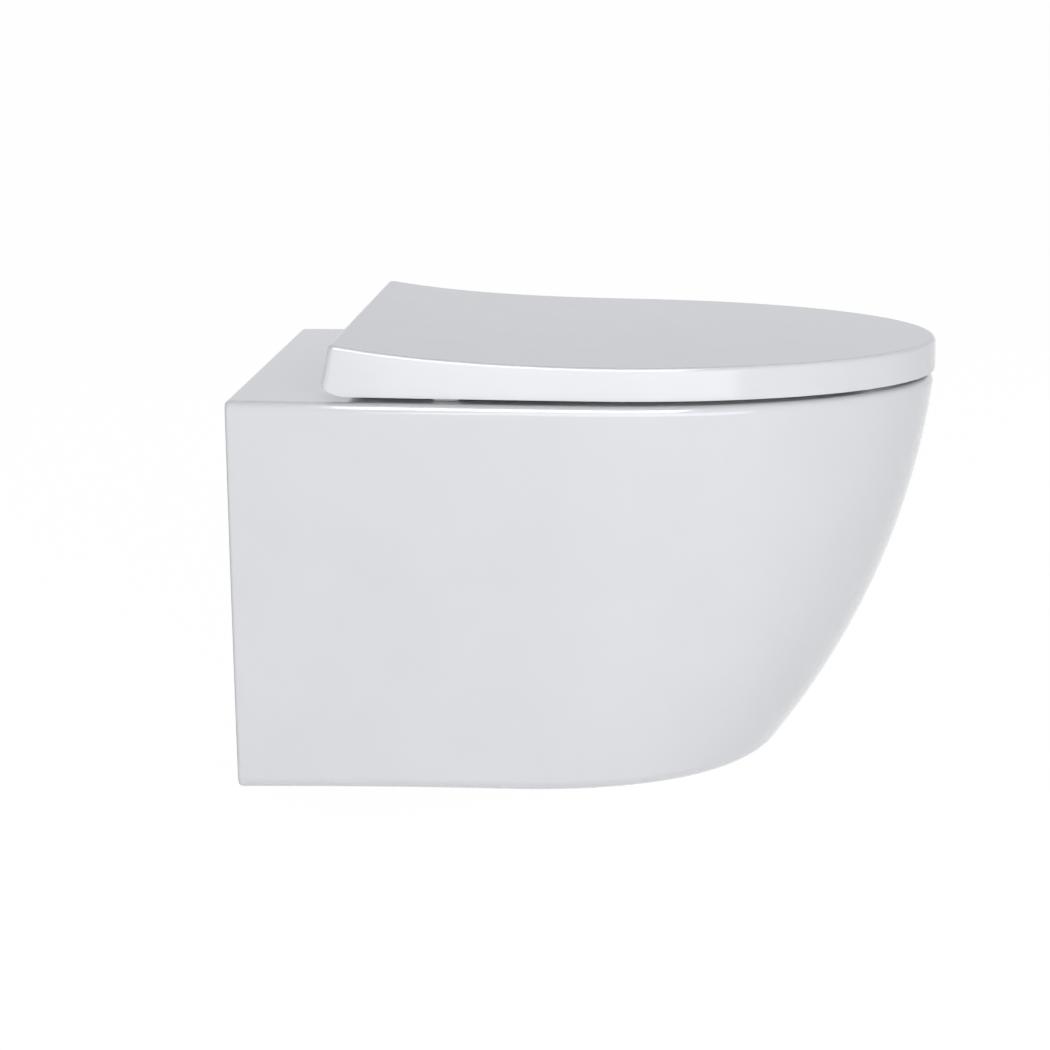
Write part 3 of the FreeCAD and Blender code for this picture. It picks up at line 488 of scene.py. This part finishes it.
def addOutletWay():
    # straight where the waste sleeve goes in, then narrowing to the bore of the trap
    way = addPipe(pan["outletBore"], pan["outletStraight"] + past, past, pan["outlet"])
    facing = 0.99
    bpy.ops.object.mode_set(mode="EDIT")
    bpy.ops.mesh.select_mode(type="FACE")
    mesh = bmesh.from_edit_mesh(way.data)
    for face in mesh.faces:
        face.select = face.normal.y < -facing
    bmesh.update_edit_mesh(way.data)
    deeper, share = (0, -pan["outletCone"] * mm, 0), pan["trapBore"] / pan["outletBore"]
    bpy.ops.mesh.extrude_region_move(TRANSFORM_OT_translate={"value": deeper})
    bpy.ops.transform.resize(value=(share, 1, share), center_override=(0, 0, pan["outlet"] * mm))
    bpy.ops.object.mode_set(mode="OBJECT")
    return way


def addFlushWay():
    # the inlet, and the chamber behind the rim that a splitter parts in two
    bore = addPipe(pan["inletBore"], pan["inletLength"] + past, past, pan["inlet"])
    half, front, rear = pan["chamberHalf"], -pan["chamberFront"], -pan["chamberRear"]
    low = pan["deck"] - pan["rimDepth"]
    high = low + pan["chamberHeight"]
    chamber = addBlock((-half, front, low), (half, rear, high))
    half = pan["splitterHalf"]
    splitter = addBlock((-half, front - past, low - 1), (half, -pan["splitterRear"], high + 1))
    cutWith(chamber, splitter)
    cutWith(bore, chamber, "UNION")
    return bore


def addCeramicPan():
    piece = addPanBody()
    cutWith(piece, addBowlRoom())
    cutWith(piece, addHollow())
    waste = addTrap(pan["trapBore"])
    cutWith(waste, addOutletWay(), "UNION")
    cutWith(piece, waste)
    cutWith(piece, addFlushWay())
    half, near, far = pan["handHole"]
    foot, under = pan["foot"], pan["deck"] - pan["deckWall"]
    for side in (-1, 1):
        x = side * pan["fixings"]
        length = pan["bossDepth"] + 2 * farPast
        cutWith(piece, addRod(pan["fixingHole"], length, (x, farPast, 0), (0, -1, 0)))
        hinge = (side * pan["hinges"], -pan["hingeFromWall"], under - past)
        cutWith(piece, addRod(pan["deckHole"], pan["deckWall"] + 2 * past, hinge, (0, 0, 1)))
        low, high = (x - half, -far, foot - past), (x + half, -near, foot + pan["footWall"] + past)
        cutWith(piece, addBlock(low, high, pan["handHoleRound"]))
    smoothShade(piece)
    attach(piece, "pan")
    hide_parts("ceramic_pan")
    print("ceramic pan:", len(piece.data.polygons), "faces")
    return piece


# lid

lidSize = dict(
    plan=pan["deckPlan"], split=96.0, deck=pan["deck"], overhang=1.0,
    draft=1.2, draftHeight=47.9, wall=4.5,
    gapRear=4.9, gapFront=3.6, rearLow=71.2, rearTop=77.6, tuckHeight=16.2, tuckLength=18.8,
    topCurve=[(77.6, 42.75), (120.0, 35.0), (190.0, 28.6), (300.0, 28.4)],
    rearHeight=42.9, ceilingRear=38.0, innerFoot=12.0,
    innerShares=(0.7, 0.4, 0.1), outerShares=(0.12, 0.3, 0.5, 0.7, 0.88), contours=(0.8, 8.0),
    edgeRound=3.5, lowRound=0.8, cornerRound=5.0, innerRound=3.0,
    notchHalf=122.0, notchHeight=35.5, notchDrop=30.0, notchRound=6.0,
    hinges=pan["hinges"], pivot=(pan["hingeFromWall"], 19.5), lugRadius=10.0, lugNear=28.4,
    lugWidth=11.0, lugSink=1.3,
    pinHole=3.05, shaftHole=4.05, shaftFlat=3.05, holeDepth=8.5, holeSides=40,
    bufferRadius=6.05, bufferRecess=1.2, bufferSides=48, bufferRear=330.0, bufferFront=75.0,
)


def lidTop(y):
    # a bezier curve from the rear, then level; its place along y is found by halving
    points, halvings = lidSize["topCurve"], 40
    if y >= points[3][0]:
        return points[3][1]
    if y <= points[0][0]:
        slope = (points[1][1] - points[0][1]) / (points[1][0] - points[0][0])
        return points[0][1] + slope * (y - points[0][0])
    low, high = 0.0, 1.0
    for _ in range(halvings):
        t = (low + high) / 2
        shares = ((1 - t) ** 3, 3 * t * (1 - t) ** 2, 3 * t * t * (1 - t), t ** 3)
        reach = sum(s * p[0] for s, p in zip(shares, points))
        low, high = (t, high) if reach < y else (low, t)
    return sum(s * p[1] for s, p in zip(shares, points))


def lidUnder(y):
    # the lower edge, which turns up towards the rear
    size = lidSize
    end = size["rearLow"] + size["tuckLength"]
    if y >= end:
        share = (y - end) / (size["plan"][3] - end)
        return size["gapRear"] + (size["gapFront"] - size["gapRear"]) * share
    reach = min((end - y) / size["tuckLength"], 1.0)
    rise = size["tuckHeight"] - size["gapRear"]
    return size["tuckHeight"] - rise * math.sqrt(1 - reach * reach)


def lidRear(height):
    size = lidSize
    share = (height - size["tuckHeight"]) / (size["topCurve"][0][1] - size["tuckHeight"])
    return size["rearLow"] + (size["rearTop"] - size["rearLow"]) * share


def lidRing(number, height, rearHeight, inset, wall=0.0, back=None):
    size = lidSize
    if back is None:
        back = lidRear(rearHeight) + wall
    draft = -size["overhang"] + size["draft"] * rearHeight / size["draftHeight"]
    corner = max(size["cornerRound"] - wall, leastCorner)
    points = planPoints(size["plan"], back, draft + inset, corner, size["split"])
    return addRing(points, lambda y: size["deck"] + height(y), planSteps, number)


def addLidShell():
    # inner ceiling outwards, inner wall down, lower edge, outer wall up, and the top inwards
    size, rings = lidSize, []

    def add(height, rearHeight, inset, wall=0.0, back=None):
        rings.append(lidRing(len(rings), height, rearHeight, inset, wall, back))

    wall, inner, low, edge = size["wall"], size["innerRound"], size["lowRound"], size["edgeRound"]
    rear, foot, tuck = size["ceilingRear"], size["innerFoot"], size["tuckHeight"]
    for contour in size["contours"][::-1]:
        inset = wall + inner + contour
        add(lambda y: lidTop(y) - wall, rear, inset, back=lidRear(rear) + inset)
    for inward, drop in roundSteps(inner, smallRound)[::-1]:
        inset, height = wall + inward, rear - drop
        add(lambda y: lidTop(y) - wall - drop, height, inset, back=lidRear(height) + inset)
    for share in size["innerShares"]:
        add(lambda y: lidUnder(y) + share * (lidTop(y) - wall - inner - lidUnder(y)),
            foot + (rear - foot) * share, wall, wall)
    add(lidUnder, tuck, wall, wall)
    for inward, drop in roundSteps(low, thinRound)[::-1]:
        add(lambda y: lidUnder(y) + drop, tuck + drop, inward, inward)
    shoulder = size["rearHeight"] - edge
    for share in size["outerShares"]:
        add(lambda y: lidUnder(y) + low + share * (lidTop(y) - edge - low - lidUnder(y)),
            tuck + low + share * (shoulder - low - tuck), 0)
    for inward, drop in roundSteps(edge, fineRound):
        add(lambda y: lidTop(y) - drop, shoulder, inward, back=lidRear(shoulder) + inward)
    for contour in size["contours"]:
        inset = edge + contour
        add(lidTop, shoulder, inset, back=lidRear(shoulder) + inset)
    return bridgeRings("lidShell", rings, across=True)


def pivotLine():
    return -lidSize["pivot"][0], lidSize["deck"] + lidSize["pivot"][1]


def addLug(near, far, root):
    # an eye round the pivot line with a root that runs up or forward to what carries it
    eye = addRod(lidSize["lugRadius"], far - near, (near, *pivotLine()), (1, 0, 0))
    low, high = root
    cutWith(eye, addBlock((near, *low), (far, *high)), "UNION")
    return eye


def addPivotHole(middle, side):
    # round for the pin, or with two flats for the damper's shaft, beyond one end of a barrel
    size = lidSize
    start = middle + side * size["lugNear"]
    y, z = pivotLine()
    radius, length = size["pinHole" if side > 0 else "shaftHole"], size["holeDepth"] + 1
    hole = addRod(radius, length, (start - side, y, z), (side, 0, 0), size["holeSides"])
    if side < 0:
        room, flat = 20.0, size["shaftFlat"]
        low, high = (start - room, y - room, z - flat), (start + room, y + room, z + flat)
        cutWith(hole, addBlock(low, high), "INTERSECT")
    return hole


def addLid():
    size = lidSize
    piece = addLidShell()
    deck, half = size["deck"], size["notchHalf"]
    low = (-half, -size["rearTop"] - farPast, deck - size["notchDrop"])
    high = (half, -size["rearLow"] + farPast, deck + size["notchHeight"])
    cutWith(piece, addBlock(low, high, size["notchRound"], 1))
    y, z = pivotLine()
    radius = size["lugRadius"]
    rootTop = deck + lidTop(-y + radius) - size["lugSink"]
    for side in (-1, 1):
        outer = size["hinges"] + size["lugNear"]
        near, far = sorted(side * (outer + w) for w in (0, size["lugWidth"]))
        cutWith(piece, addLug(near, far, ((y - radius, z), (y + radius, rootTop))), "UNION")
        cutWith(piece, addPivotHole(side * size["hinges"], side))
    top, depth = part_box("lid_buffers")[1].z / mm, size["bufferRecess"] + past
    for x, place in lidBufferPlaces():
        start = (x, place, top - depth)
        cutWith(piece, addRod(size["bufferRadius"], depth, start, (0, 0, 1), size["bufferSides"]))
    smoothShade(piece)
    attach(piece, "lid")
    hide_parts("lid")
    print("lid:", len(piece.data.polygons), "faces")
    return piece


def noseReach(x, half, front, widest):
    # how far an elliptical nose reaches from the wall, at x from the middle
    return widest + (front - widest) * math.sqrt(1 - (x / half) ** 2)


def ovalReach(x, oval):
    return noseReach(x, oval[0], oval[2], oval[3])


def deckReach(x, inset):
    half, _, widest, front, _ = pan["deckPlan"]
    return noseReach(x, half - inset, front - inset, widest)


def lidBufferPlaces():
    # over the middle of the seat ring
    ahead, inset = lidSize["bufferFront"], seatSize["inset"]
    aside = (pan["deckPlan"][0] - inset + seatSize["opening"][0]) / 2
    middle = (deckReach(ahead, inset) + ovalReach(ahead, seatSize["opening"])) / 2
    places = [(aside, -lidSize["bufferRear"]), (ahead, -middle)]
    return [(side * x, y) for x, y in places for side in (-1, 1)]


# seat ring

seatSize = dict(
    plan=pan["deckPlan"], split=150.0, low=86.0, high=101.2, inset=7.0,
    draft=0.8, back=105.0, cornerRound=14.0, opening=(108.0, 203.0, 470.0, 318.0),
    outerRound=4.0, innerRound=6.5, lowRound=1.5, lift=3.0,
    hollowWall=5.0, hollowTop=95.0, hollowRound=2.0, armHeight=11.0,
    padHalf=(6.5, 10.0), padBoss=2.5, padRoot=2.0, padCorner=3.9, padRecess=2.0, padPlay=0.05,
    padRear=(157.0, 161.0), padFront=88.0,
)


def seatRim(number, z, inset):
    size = seatSize
    extra = inset + size["draft"] * (z - size["low"]) / (size["high"] - size["low"])
    corner = max(size["cornerRound"] - inset, leastCorner)
    back, aside = size["back"] + extra, size["inset"] + extra
    points = planPoints(size["plan"], back, aside, corner, size["split"])
    return addRing(points, lambda y: z, planSteps, number)


def seatOval(number, z, grow):
    return ovalRing(seatSize["opening"], grow, z, number)


def addSeatForm(name, ring, steps):
    # a closed form of rings, each at a height and moved in or out
    return bridgeRings(name, [ring(i, z, shift) for i, (z, shift) in enumerate(steps)])


def addSeatBody():
    size = seatSize
    low, high = size["low"], size["high"]
    steps = [(low + drop, inward) for inward, drop in roundSteps(size["lowRound"], thinRound)[::-1]]
    steps += [((low + high) / 2, 0)]
    steps += [(high - drop, inward) for inward, drop in roundSteps(size["outerRound"], evenRound)]
    return addSeatForm("seatRing", seatRim, steps)


def addSeatOpening():
    # the opening, which widens at both edges
    size = seatSize
    low, high, inner = size["low"], size["high"], size["innerRound"]
    steps = [(high + size["lift"], inner)]
    steps += [(high - drop, outward) for outward, drop in roundSteps(inner, fineRound)[::-1]]
    steps += [(low + drop, outward) for outward, drop in roundSteps(size["lowRound"], thinRound)]
    steps += [(low - size["lift"], size["lowRound"])]
    return addSeatForm("opening", seatOval, steps)


def addSeatHollow():
    # the room under the ring, between its outer and its inner wall
    size = seatSize
    wall, top, turn, lift = size["hollowWall"], size["hollowTop"], size["hollowRound"], size["lift"]
    turned = [(top - drop, wall + across) for across, drop in roundSteps(turn, thinRound)]
    hollow = addSeatForm("hollow", seatRim, [(size["low"] - lift, wall)] + turned)
    steps = [(size["low"] - 2 * lift, wall)] + turned + [(top + lift, wall + turn)]
    cutWith(hollow, addSeatForm("innerWall", seatOval, steps))
    return hollow


def seatBufferPlaces():
    # place and turn of each buffer: near the rear corners and along the front of the rim
    x, rear = seatSize["padRear"]
    ahead = seatSize["padFront"]
    reach = deckReach(ahead, pan["deckRound"]) + ovalReach(ahead, pan["rim"]) + pan["rimRound"]
    turn = math.atan2(deckReach(ahead - 1, 0) - deckReach(ahead + 1, 0), 2) - math.pi / 2
    places = [(x, -rear, 0.0), (ahead, -reach / 2, turn)]
    return [(side * x, y, side * angle) for x, y, angle in places for side in (-1, 1)]


def addPad(place, low, high, grow):
    x, y, turn = place
    across, along = seatSize["padHalf"][0] + grow, seatSize["padHalf"][1] + grow
    pad = addBlock((-across, -along, low), (across, along, high), seatSize["padCorner"] + grow)
    selectOnly([pad])
    bpy.ops.transform.rotate(value=-turn, orient_axis="Z", center_override=(0, 0, 0))
    bpy.ops.transform.translate(value=(x * mm, y * mm, 0))
    bpy.ops.object.transform_apply(location=True, rotation=True, scale=True)
    return pad


def addSeat():
    size = seatSize
    piece = addSeatBody()
    cutWith(piece, addSeatOpening())
    cutWith(piece, addSeatHollow())
    armStart = (-size["back"] - size["hollowWall"], size["high"] - size["armHeight"])
    armEnd = (pivotLine()[0], size["high"])
    for side in (-1, 1):
        middle, gap = side * lidSize["hinges"], lidSize["lugNear"]
        near, far = sorted(middle - side * (gap + w) for w in (0, lidSize["lugWidth"]))
        cutWith(piece, addLug(near, far, (armStart, armEnd)), "UNION")
        cutWith(piece, addPivotHole(middle, -side))
    low, top = size["low"], size["hollowTop"] + size["padRoot"]
    for place in seatBufferPlaces():
        cutWith(piece, addPad(place, low, top, size["padBoss"]), "UNION")
        cutWith(piece, addPad(place, low - size["lift"], low + size["padRecess"], size["padPlay"]))
    smoothShade(piece)
    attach(piece, "seat")
    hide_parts("seat_ring")
    print("seat:", len(piece.data.polygons), "faces")
    return piece


# springs under the release buttons

springSize = dict(
    wire=0.3, coil=3.4, turns=3, stepsPerTurn=24, wireSides=10, press=2.0, smoothAngle=50,
)


def addButtonSpring(side):
    # a circle of wire turned up a screw line round the post
    size, node = springSize, "button_spring_" + side
    low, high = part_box(node)
    wire, turns, steps = size["wire"] * mm, size["turns"], size["stepsPerTurn"]
    length = high.z - low.z
    deselectAll()
    bpy.ops.mesh.primitive_circle_add(
        vertices=size["wireSides"], radius=wire, location=(size["coil"] * mm, 0, 0),
        rotation=(math.pi / 2, 0, 0))
    spring = bpy.context.object
    spring.name = "buttonSpring" + side.capitalize()
    bpy.ops.object.transform_apply(location=True, rotation=True, scale=True)
    applyModifier(spring, "SCREW", angle=2 * math.pi, screw_offset=(length - 2 * wire) / turns,
                  iterations=turns, steps=steps, render_steps=steps, axis="Z")
    place = ((low.x + high.x) / 2, (low.y + high.y) / 2, low.z + wire)
    bpy.ops.object.mode_set(mode="EDIT")
    bpy.ops.mesh.select_all(action="SELECT")
    bpy.ops.mesh.fill_holes(sides=0)
    bpy.ops.transform.translate(value=place)
    bpy.ops.object.mode_set(mode="OBJECT")
    faceOutwards(spring)
    smoothShade(spring, size["smoothAngle"])
    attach(spring, "hinge_unit")
    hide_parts(node)
    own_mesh(spring)
    print("button spring:", len(spring.data.polygons), "faces")
    return spring


# materials

def hexColour(code):
    # from sRGB to the linear values that the nodes take
    channels = [int(code[i:i + 2], 16) / 255 for i in (1, 3, 5)]
    return (*(c / 12.92 if c <= 0.04045 else ((c + 0.055) / 1.055) ** 2.4 for c in channels), 1.0)


def addNode(material, kind, inputs=None, **settings):
    node = material.node_tree.nodes.new(kind)
    for name, value in settings.items():
        setattr(node, name, value)
    for name, value in (inputs or {}).items():
        if isinstance(value, bpy.types.NodeSocket):
            material.node_tree.links.new(value, node.inputs[name])
        else:
            node.inputs[name].default_value = value
    return node


def newMaterial(name, **sockets):
    material = bpy.data.materials.new(name)
    material.use_nodes = True
    shader = material.node_tree.nodes["Principled BSDF"]
    for socket, value in sockets.items():
        shader.inputs[socket.replace("_", " ")].default_value = value
    place = addNode(material, "ShaderNodeTexCoord").outputs["Object"]
    return material, shader, place


def perMetre(sizeInMm):
    return 1 / (sizeInMm * mm)


def setRamp(node, stops):
    ramp = node.color_ramp
    for element, (position, code) in zip(ramp.elements, stops):
        element.position = position
        element.color = hexColour(code)


def glazedCeramic():
    # vitreous china, sprayed with glaze and fired: deep gloss over a soft white body
    # the face at the wall is left as bare biscuit
    material, shader, place = newMaterial(
        "glazedVitreousChina", IOR=1.52, Coat_Weight=0.35, Coat_Roughness=0.03)
    link = material.node_tree.links.new
    cloud = addNode(material, "ShaderNodeTexNoise",
                    {"Vector": place, "Scale": perMetre(90), "Detail": 2.0})
    tint = addNode(material, "ShaderNodeValToRGB", {"Fac": cloud.outputs["Fac"]})
    setRamp(tint, [(0.3, "#EEEFF0"), (0.7, "#F1F2F3")])
    split = addNode(material, "ShaderNodeSeparateXYZ", {"Vector": place})
    bare = addNode(material, "ShaderNodeMapRange",
                   {"Value": split.outputs["Y"], "From Min": -1.2 * mm, "From Max": -0.4 * mm})
    speck = addNode(material, "ShaderNodeTexNoise",
                    {"Vector": place, "Scale": perMetre(1.5), "Detail": 4.0})
    biscuit = addNode(material, "ShaderNodeValToRGB", {"Fac": speck.outputs["Fac"]})
    setRamp(biscuit, [(0.35, "#CFC8BB"), (0.65, "#DDD8CD")])
    colour = addNode(material, "ShaderNodeMix", {"Factor": bare.outputs["Result"]},
                     data_type="RGBA")
    # a colour mix has its two colours at 6 and 7, and its colour result at 2
    link(tint.outputs["Color"], colour.inputs[6])
    link(biscuit.outputs["Color"], colour.inputs[7])
    link(colour.outputs[2], shader.inputs["Base Color"])
    gloss = addNode(material, "ShaderNodeMapRange",
                    {"Value": bare.outputs["Result"], "To Min": 0.1, "To Max": 0.8})
    link(gloss.outputs["Result"], shader.inputs["Roughness"])
    # glaze flows into long low waves, about 35 mm apart
    wave = addNode(material, "ShaderNodeTexNoise",
                   {"Vector": place, "Scale": perMetre(35), "Detail": 1.0})
    bump = addNode(material, "ShaderNodeBump",
                   {"Height": wave.outputs["Fac"], "Strength": 0.25, "Distance": 0.25 * mm})
    link(bump.outputs["Normal"], shader.inputs["Normal"])
    return material


def mouldedDuroplast(name, pale, deep):
    # urea resin pressed in a polished mould: hard even gloss, a hair brighter than the glaze
    material, shader, place = newMaterial(name, IOR=1.5, Roughness=0.13)
    link = material.node_tree.links.new
    cloud = addNode(material, "ShaderNodeTexNoise",
                    {"Vector": place, "Scale": perMetre(60), "Detail": 2.0})
    tint = addNode(material, "ShaderNodeValToRGB", {"Fac": cloud.outputs["Fac"]})
    setRamp(tint, [(0.3, deep), (0.7, pale)])
    link(tint.outputs["Color"], shader.inputs["Base Color"])
    skin = addNode(material, "ShaderNodeTexNoise",
                   {"Vector": place, "Scale": perMetre(5), "Detail": 2.0})
    bump = addNode(material, "ShaderNodeBump",
                   {"Height": skin.outputs["Fac"], "Strength": 0.12, "Distance": 0.04 * mm})
    link(bump.outputs["Normal"], shader.inputs["Normal"])
    return material


def softBuffer():
    # clear-white thermoplastic rubber, moulded and a little waxy
    material, shader, place = newMaterial("paleSoftRubber", IOR=1.49, Subsurface_Weight=0.15)
    link = material.node_tree.links.new
    haze = addNode(material, "ShaderNodeTexNoise",
                   {"Vector": place, "Scale": perMetre(4), "Detail": 3.0})
    tint = addNode(material, "ShaderNodeValToRGB", {"Fac": haze.outputs["Fac"]})
    setRamp(tint, [(0.35, "#DADAD5"), (0.65, "#E6E6E2")])
    link(tint.outputs["Color"], shader.inputs["Base Color"])
    wear = addNode(material, "ShaderNodeMapRange",
                   {"Value": haze.outputs["Fac"], "To Min": 0.4, "To Max": 0.6})
    link(wear.outputs["Result"], shader.inputs["Roughness"])
    bump = addNode(material, "ShaderNodeBump",
                   {"Height": haze.outputs["Fac"], "Strength": 0.2, "Distance": 0.05 * mm})
    link(bump.outputs["Normal"], shader.inputs["Normal"])
    return material


def brushedMetal(name, pale, deep, along, roughest, finest):
    # turned and satin-brushed metal, with its scratches along one axis
    # they are about 0.4 mm apart, drawn a little coarser to show
    material, shader, place = newMaterial(name, Metallic=1.0)
    link = material.node_tree.links.new
    stretch = [perMetre(0.8)] * 3
    stretch[along] = perMetre(18)
    lines = addNode(material, "ShaderNodeMapping", {"Vector": place, "Scale": stretch})
    grain = addNode(material, "ShaderNodeTexNoise",
                    {"Vector": lines.outputs["Vector"], "Scale": 1.0, "Detail": 3.0})
    tint = addNode(material, "ShaderNodeValToRGB", {"Fac": grain.outputs["Fac"]})
    setRamp(tint, [(0.3, deep), (0.7, pale)])
    link(tint.outputs["Color"], shader.inputs["Base Color"])
    rub = addNode(material, "ShaderNodeMapRange",
                  {"Value": grain.outputs["Fac"], "To Min": finest, "To Max": roughest})
    link(rub.outputs["Result"], shader.inputs["Roughness"])
    bump = addNode(material, "ShaderNodeBump",
                   {"Height": grain.outputs["Fac"], "Strength": 0.15, "Distance": 0.02 * mm})
    link(bump.outputs["Normal"], shader.inputs["Normal"])
    return material


def zincPlate():
    # zinc on steel, dipped and passivated: dull silver with a crystalline mottle of about 2 mm
    material, shader, place = newMaterial("zincPlatedSteel", Metallic=1.0)
    link = material.node_tree.links.new
    crystal = addNode(material, "ShaderNodeTexVoronoi", {"Vector": place, "Scale": perMetre(2.2)})
    tint = addNode(material, "ShaderNodeValToRGB", {"Fac": crystal.outputs["Distance"]})
    setRamp(tint, [(0.1, "#A9ADB2"), (0.8, "#C4C7C9")])
    link(tint.outputs["Color"], shader.inputs["Base Color"])
    rub = addNode(material, "ShaderNodeMapRange",
                  {"Value": crystal.outputs["Distance"], "To Min": 0.28, "To Max": 0.45})
    link(rub.outputs["Result"], shader.inputs["Roughness"])
    return material


def mouldedPlastic(name, pale, deep, grainSize, finest, roughest):
    # injection moulded part with a light spark-eroded grain from the tool
    material, shader, place = newMaterial(name, IOR=1.48)
    link = material.node_tree.links.new
    grain = addNode(material, "ShaderNodeTexNoise",
                    {"Vector": place, "Scale": perMetre(grainSize), "Detail": 3.0})
    tint = addNode(material, "ShaderNodeValToRGB", {"Fac": grain.outputs["Fac"]})
    setRamp(tint, [(0.35, deep), (0.65, pale)])
    link(tint.outputs["Color"], shader.inputs["Base Color"])
    rub = addNode(material, "ShaderNodeMapRange",
                  {"Value": grain.outputs["Fac"], "To Min": finest, "To Max": roughest})
    link(rub.outputs["Result"], shader.inputs["Roughness"])
    bump = addNode(material, "ShaderNodeBump",
                   {"Height": grain.outputs["Fac"], "Strength": 0.2, "Distance": 0.04 * mm})
    link(bump.outputs["Normal"], shader.inputs["Normal"])
    return material


def dress(piece, material):
    piece.data.materials.clear()
    piece.data.materials.append(material)


def dressNodes():
    acrossX, upZ = 0, 2  # the axis that the scratches of a metal run along
    finishes = {
        "ceramic": glazedCeramic(),
        "lid_white": mouldedDuroplast("lidDuroplast", "#F6F6F7", "#F2F3F4"),
        "seat_white": mouldedDuroplast("seatDuroplast", "#F5F5F6", "#F1F2F3"),
        "buffer_rubber": softBuffer(),
        "hinge_metal": brushedMetal("satinStainlessSteel", "#CDCFD0", "#BCBEC0", upZ,
                                    roughest=0.32, finest=0.2),
        "barrel_metal": brushedMetal("satinChromedZinc", "#D2D4D6", "#C4C7CA", acrossX,
                                     roughest=0.3, finest=0.18),
        "button_metal": brushedMetal("brightChromedZinc", "#D8DADC", "#CFD2D5", upZ,
                                     roughest=0.14, finest=0.06),
        "damper_plastic": mouldedPlastic("mouldedAcetal", "#3B3D40", "#2F3133", grainSize=0.8,
                                         finest=0.32, roughest=0.48),
        "sleeve_plastic": mouldedPlastic("naturalNylon", "#E6E2D7", "#DCD7CA", grainSize=1.2,
                                         finest=0.38, roughest=0.55),
        "plug_rubber": mouldedPlastic("blackRubber", "#2A2B2C", "#1E1F20", grainSize=0.6,
                                      finest=0.55, roughest=0.75),
        "fixing_steel": zincPlate(),
        "spring_steel": brushedMetal("drawnSpringSteel", "#A9ABAD", "#8F9194", upZ,
                                     roughest=0.35, finest=0.22),
    }
    for part in frame["record"]["subparts"]:
        dress(frame["nodes"][part["node"]], finishes[part["material_slot"]])
    return finishes


# floor, light and camera, in metres, watts and degrees

studio = dict(
    floor=-0.32, floorSize=120, glow=1.16, glowShare=0.8,  # deck 0.4 over the floor, as it is hung
    ambient=0.36, daylight="#FAFBFF", aim=(0, -0.27, 0),
    keyPower=50.0, keySize=(2.4, 2.4), keyPlace=(-2.65, -0.85, 0.2),
    stripPower=46.0, stripSize=(1.6, 1.1), stripPlace=(-0.95, -0.3, 1.6),
    cameraPlace=(-1.8121, -0.3355, 0.3915), cameraYaw=4.03, cameraPitch=-13.71,
    sensorWidth=36.0, lens=79.16,
)


def seenDirectly(holder):
    # 1 for what the camera sees, also in a mirror or through glass, and 0 for other light
    rays = addNode(holder, "ShaderNodeLightPath").outputs
    seen = addNode(holder, "ShaderNodeMath",
                   {0: rays["Is Camera Ray"], 1: rays["Is Glossy Ray"]}, operation="MAXIMUM")
    seen = addNode(holder, "ShaderNodeMath",
                   {0: seen.outputs[0], 1: rays["Is Transmission Ray"]}, operation="MAXIMUM")
    return seen.outputs[0]


def addFloor():
    deselectAll()
    bpy.ops.mesh.primitive_plane_add(size=studio["floorSize"], location=(0, 0, studio["floor"]))
    floor = bpy.context.object
    floor.name = "floor"
    material = bpy.data.materials.new("paleFloor")
    material.use_nodes = True
    material.node_tree.nodes.clear()
    share = addNode(material, "ShaderNodeMath",
                    {0: seenDirectly(material), 1: studio["glowShare"]}, operation="MULTIPLY")
    matt = addNode(material, "ShaderNodeBsdfDiffuse", {"Color": hexColour("#F4F4F4")})
    glow = addNode(material, "ShaderNodeEmission",
                   {"Color": (1, 1, 1, 1), "Strength": studio["glow"]})
    mix = addNode(material, "ShaderNodeMixShader",
                  {0: share.outputs[0], 1: matt.outputs[0], 2: glow.outputs[0]})
    addNode(material, "ShaderNodeOutputMaterial", {"Surface": mix.outputs[0]})
    floor.data.materials.append(material)


def addWorld():
    world = bpy.data.worlds.new("studioWhite")
    bpy.context.scene.world = world
    world.use_nodes = True
    world.node_tree.nodes.clear()
    level = addNode(world, "ShaderNodeMapRange",
                    {"Value": seenDirectly(world), "To Min": studio["ambient"], "To Max": 1.0})
    sky = addNode(world, "ShaderNodeBackground",
                  {"Color": hexColour(studio["daylight"]), "Strength": level.outputs["Result"]})
    addNode(world, "ShaderNodeOutputWorld", {"Surface": sky.outputs[0]})


def addSoftLight(name, onlyShine=False):
    # a softbox that faces the middle of the pan, its first size along the pan's length
    deselectAll()
    place = Vector(studio[name + "Place"])
    aim = (Vector(studio["aim"]) - place).to_track_quat("-Z", "Z").to_euler()
    bpy.ops.object.light_add(type="AREA", location=place, rotation=aim)
    light = bpy.context.object
    light.name = name + "Light"
    light.data.shape = "RECTANGLE"
    light.data.size, light.data.size_y = studio[name + "Size"]
    light.data.energy = studio[name + "Power"]
    light.data.color = hexColour(studio["daylight"])[:3]
    # a light that only shines shows in the gloss of the edges and leaves the flat tops as they are
    light.visible_diffuse = not onlyShine


def addCamera():
    deselectAll()
    yaw, pitch = math.radians(studio["cameraYaw"]), math.radians(studio["cameraPitch"])
    level = math.cos(pitch)
    look = Vector((level * math.cos(yaw), level * math.sin(yaw), math.sin(pitch)))
    bpy.ops.object.camera_add(location=studio["cameraPlace"],
                              rotation=look.to_track_quat("-Z", "Y").to_euler())
    camera = bpy.context.object
    camera.data.sensor_width = studio["sensorWidth"]
    camera.data.lens = studio["lens"]
    bpy.context.scene.camera = camera


def main():
    finishes = dressNodes()
    print("finishes:", len(finishes))
    dress(addCeramicPan(), finishes["ceramic"])
    dress(addLid(), finishes["lid_white"])
    dress(addSeat(), finishes["seat_white"])
    for side in ("left", "right"):
        dress(addButtonSpring(side), finishes["spring_steel"])
    addFloor()
    addWorld()
    addSoftLight("key")
    addSoftLight("strip", onlyShine=True)
    addCamera()
    bpy.context.scene.view_settings.view_transform = "Standard"
    print("stage ready")


main()
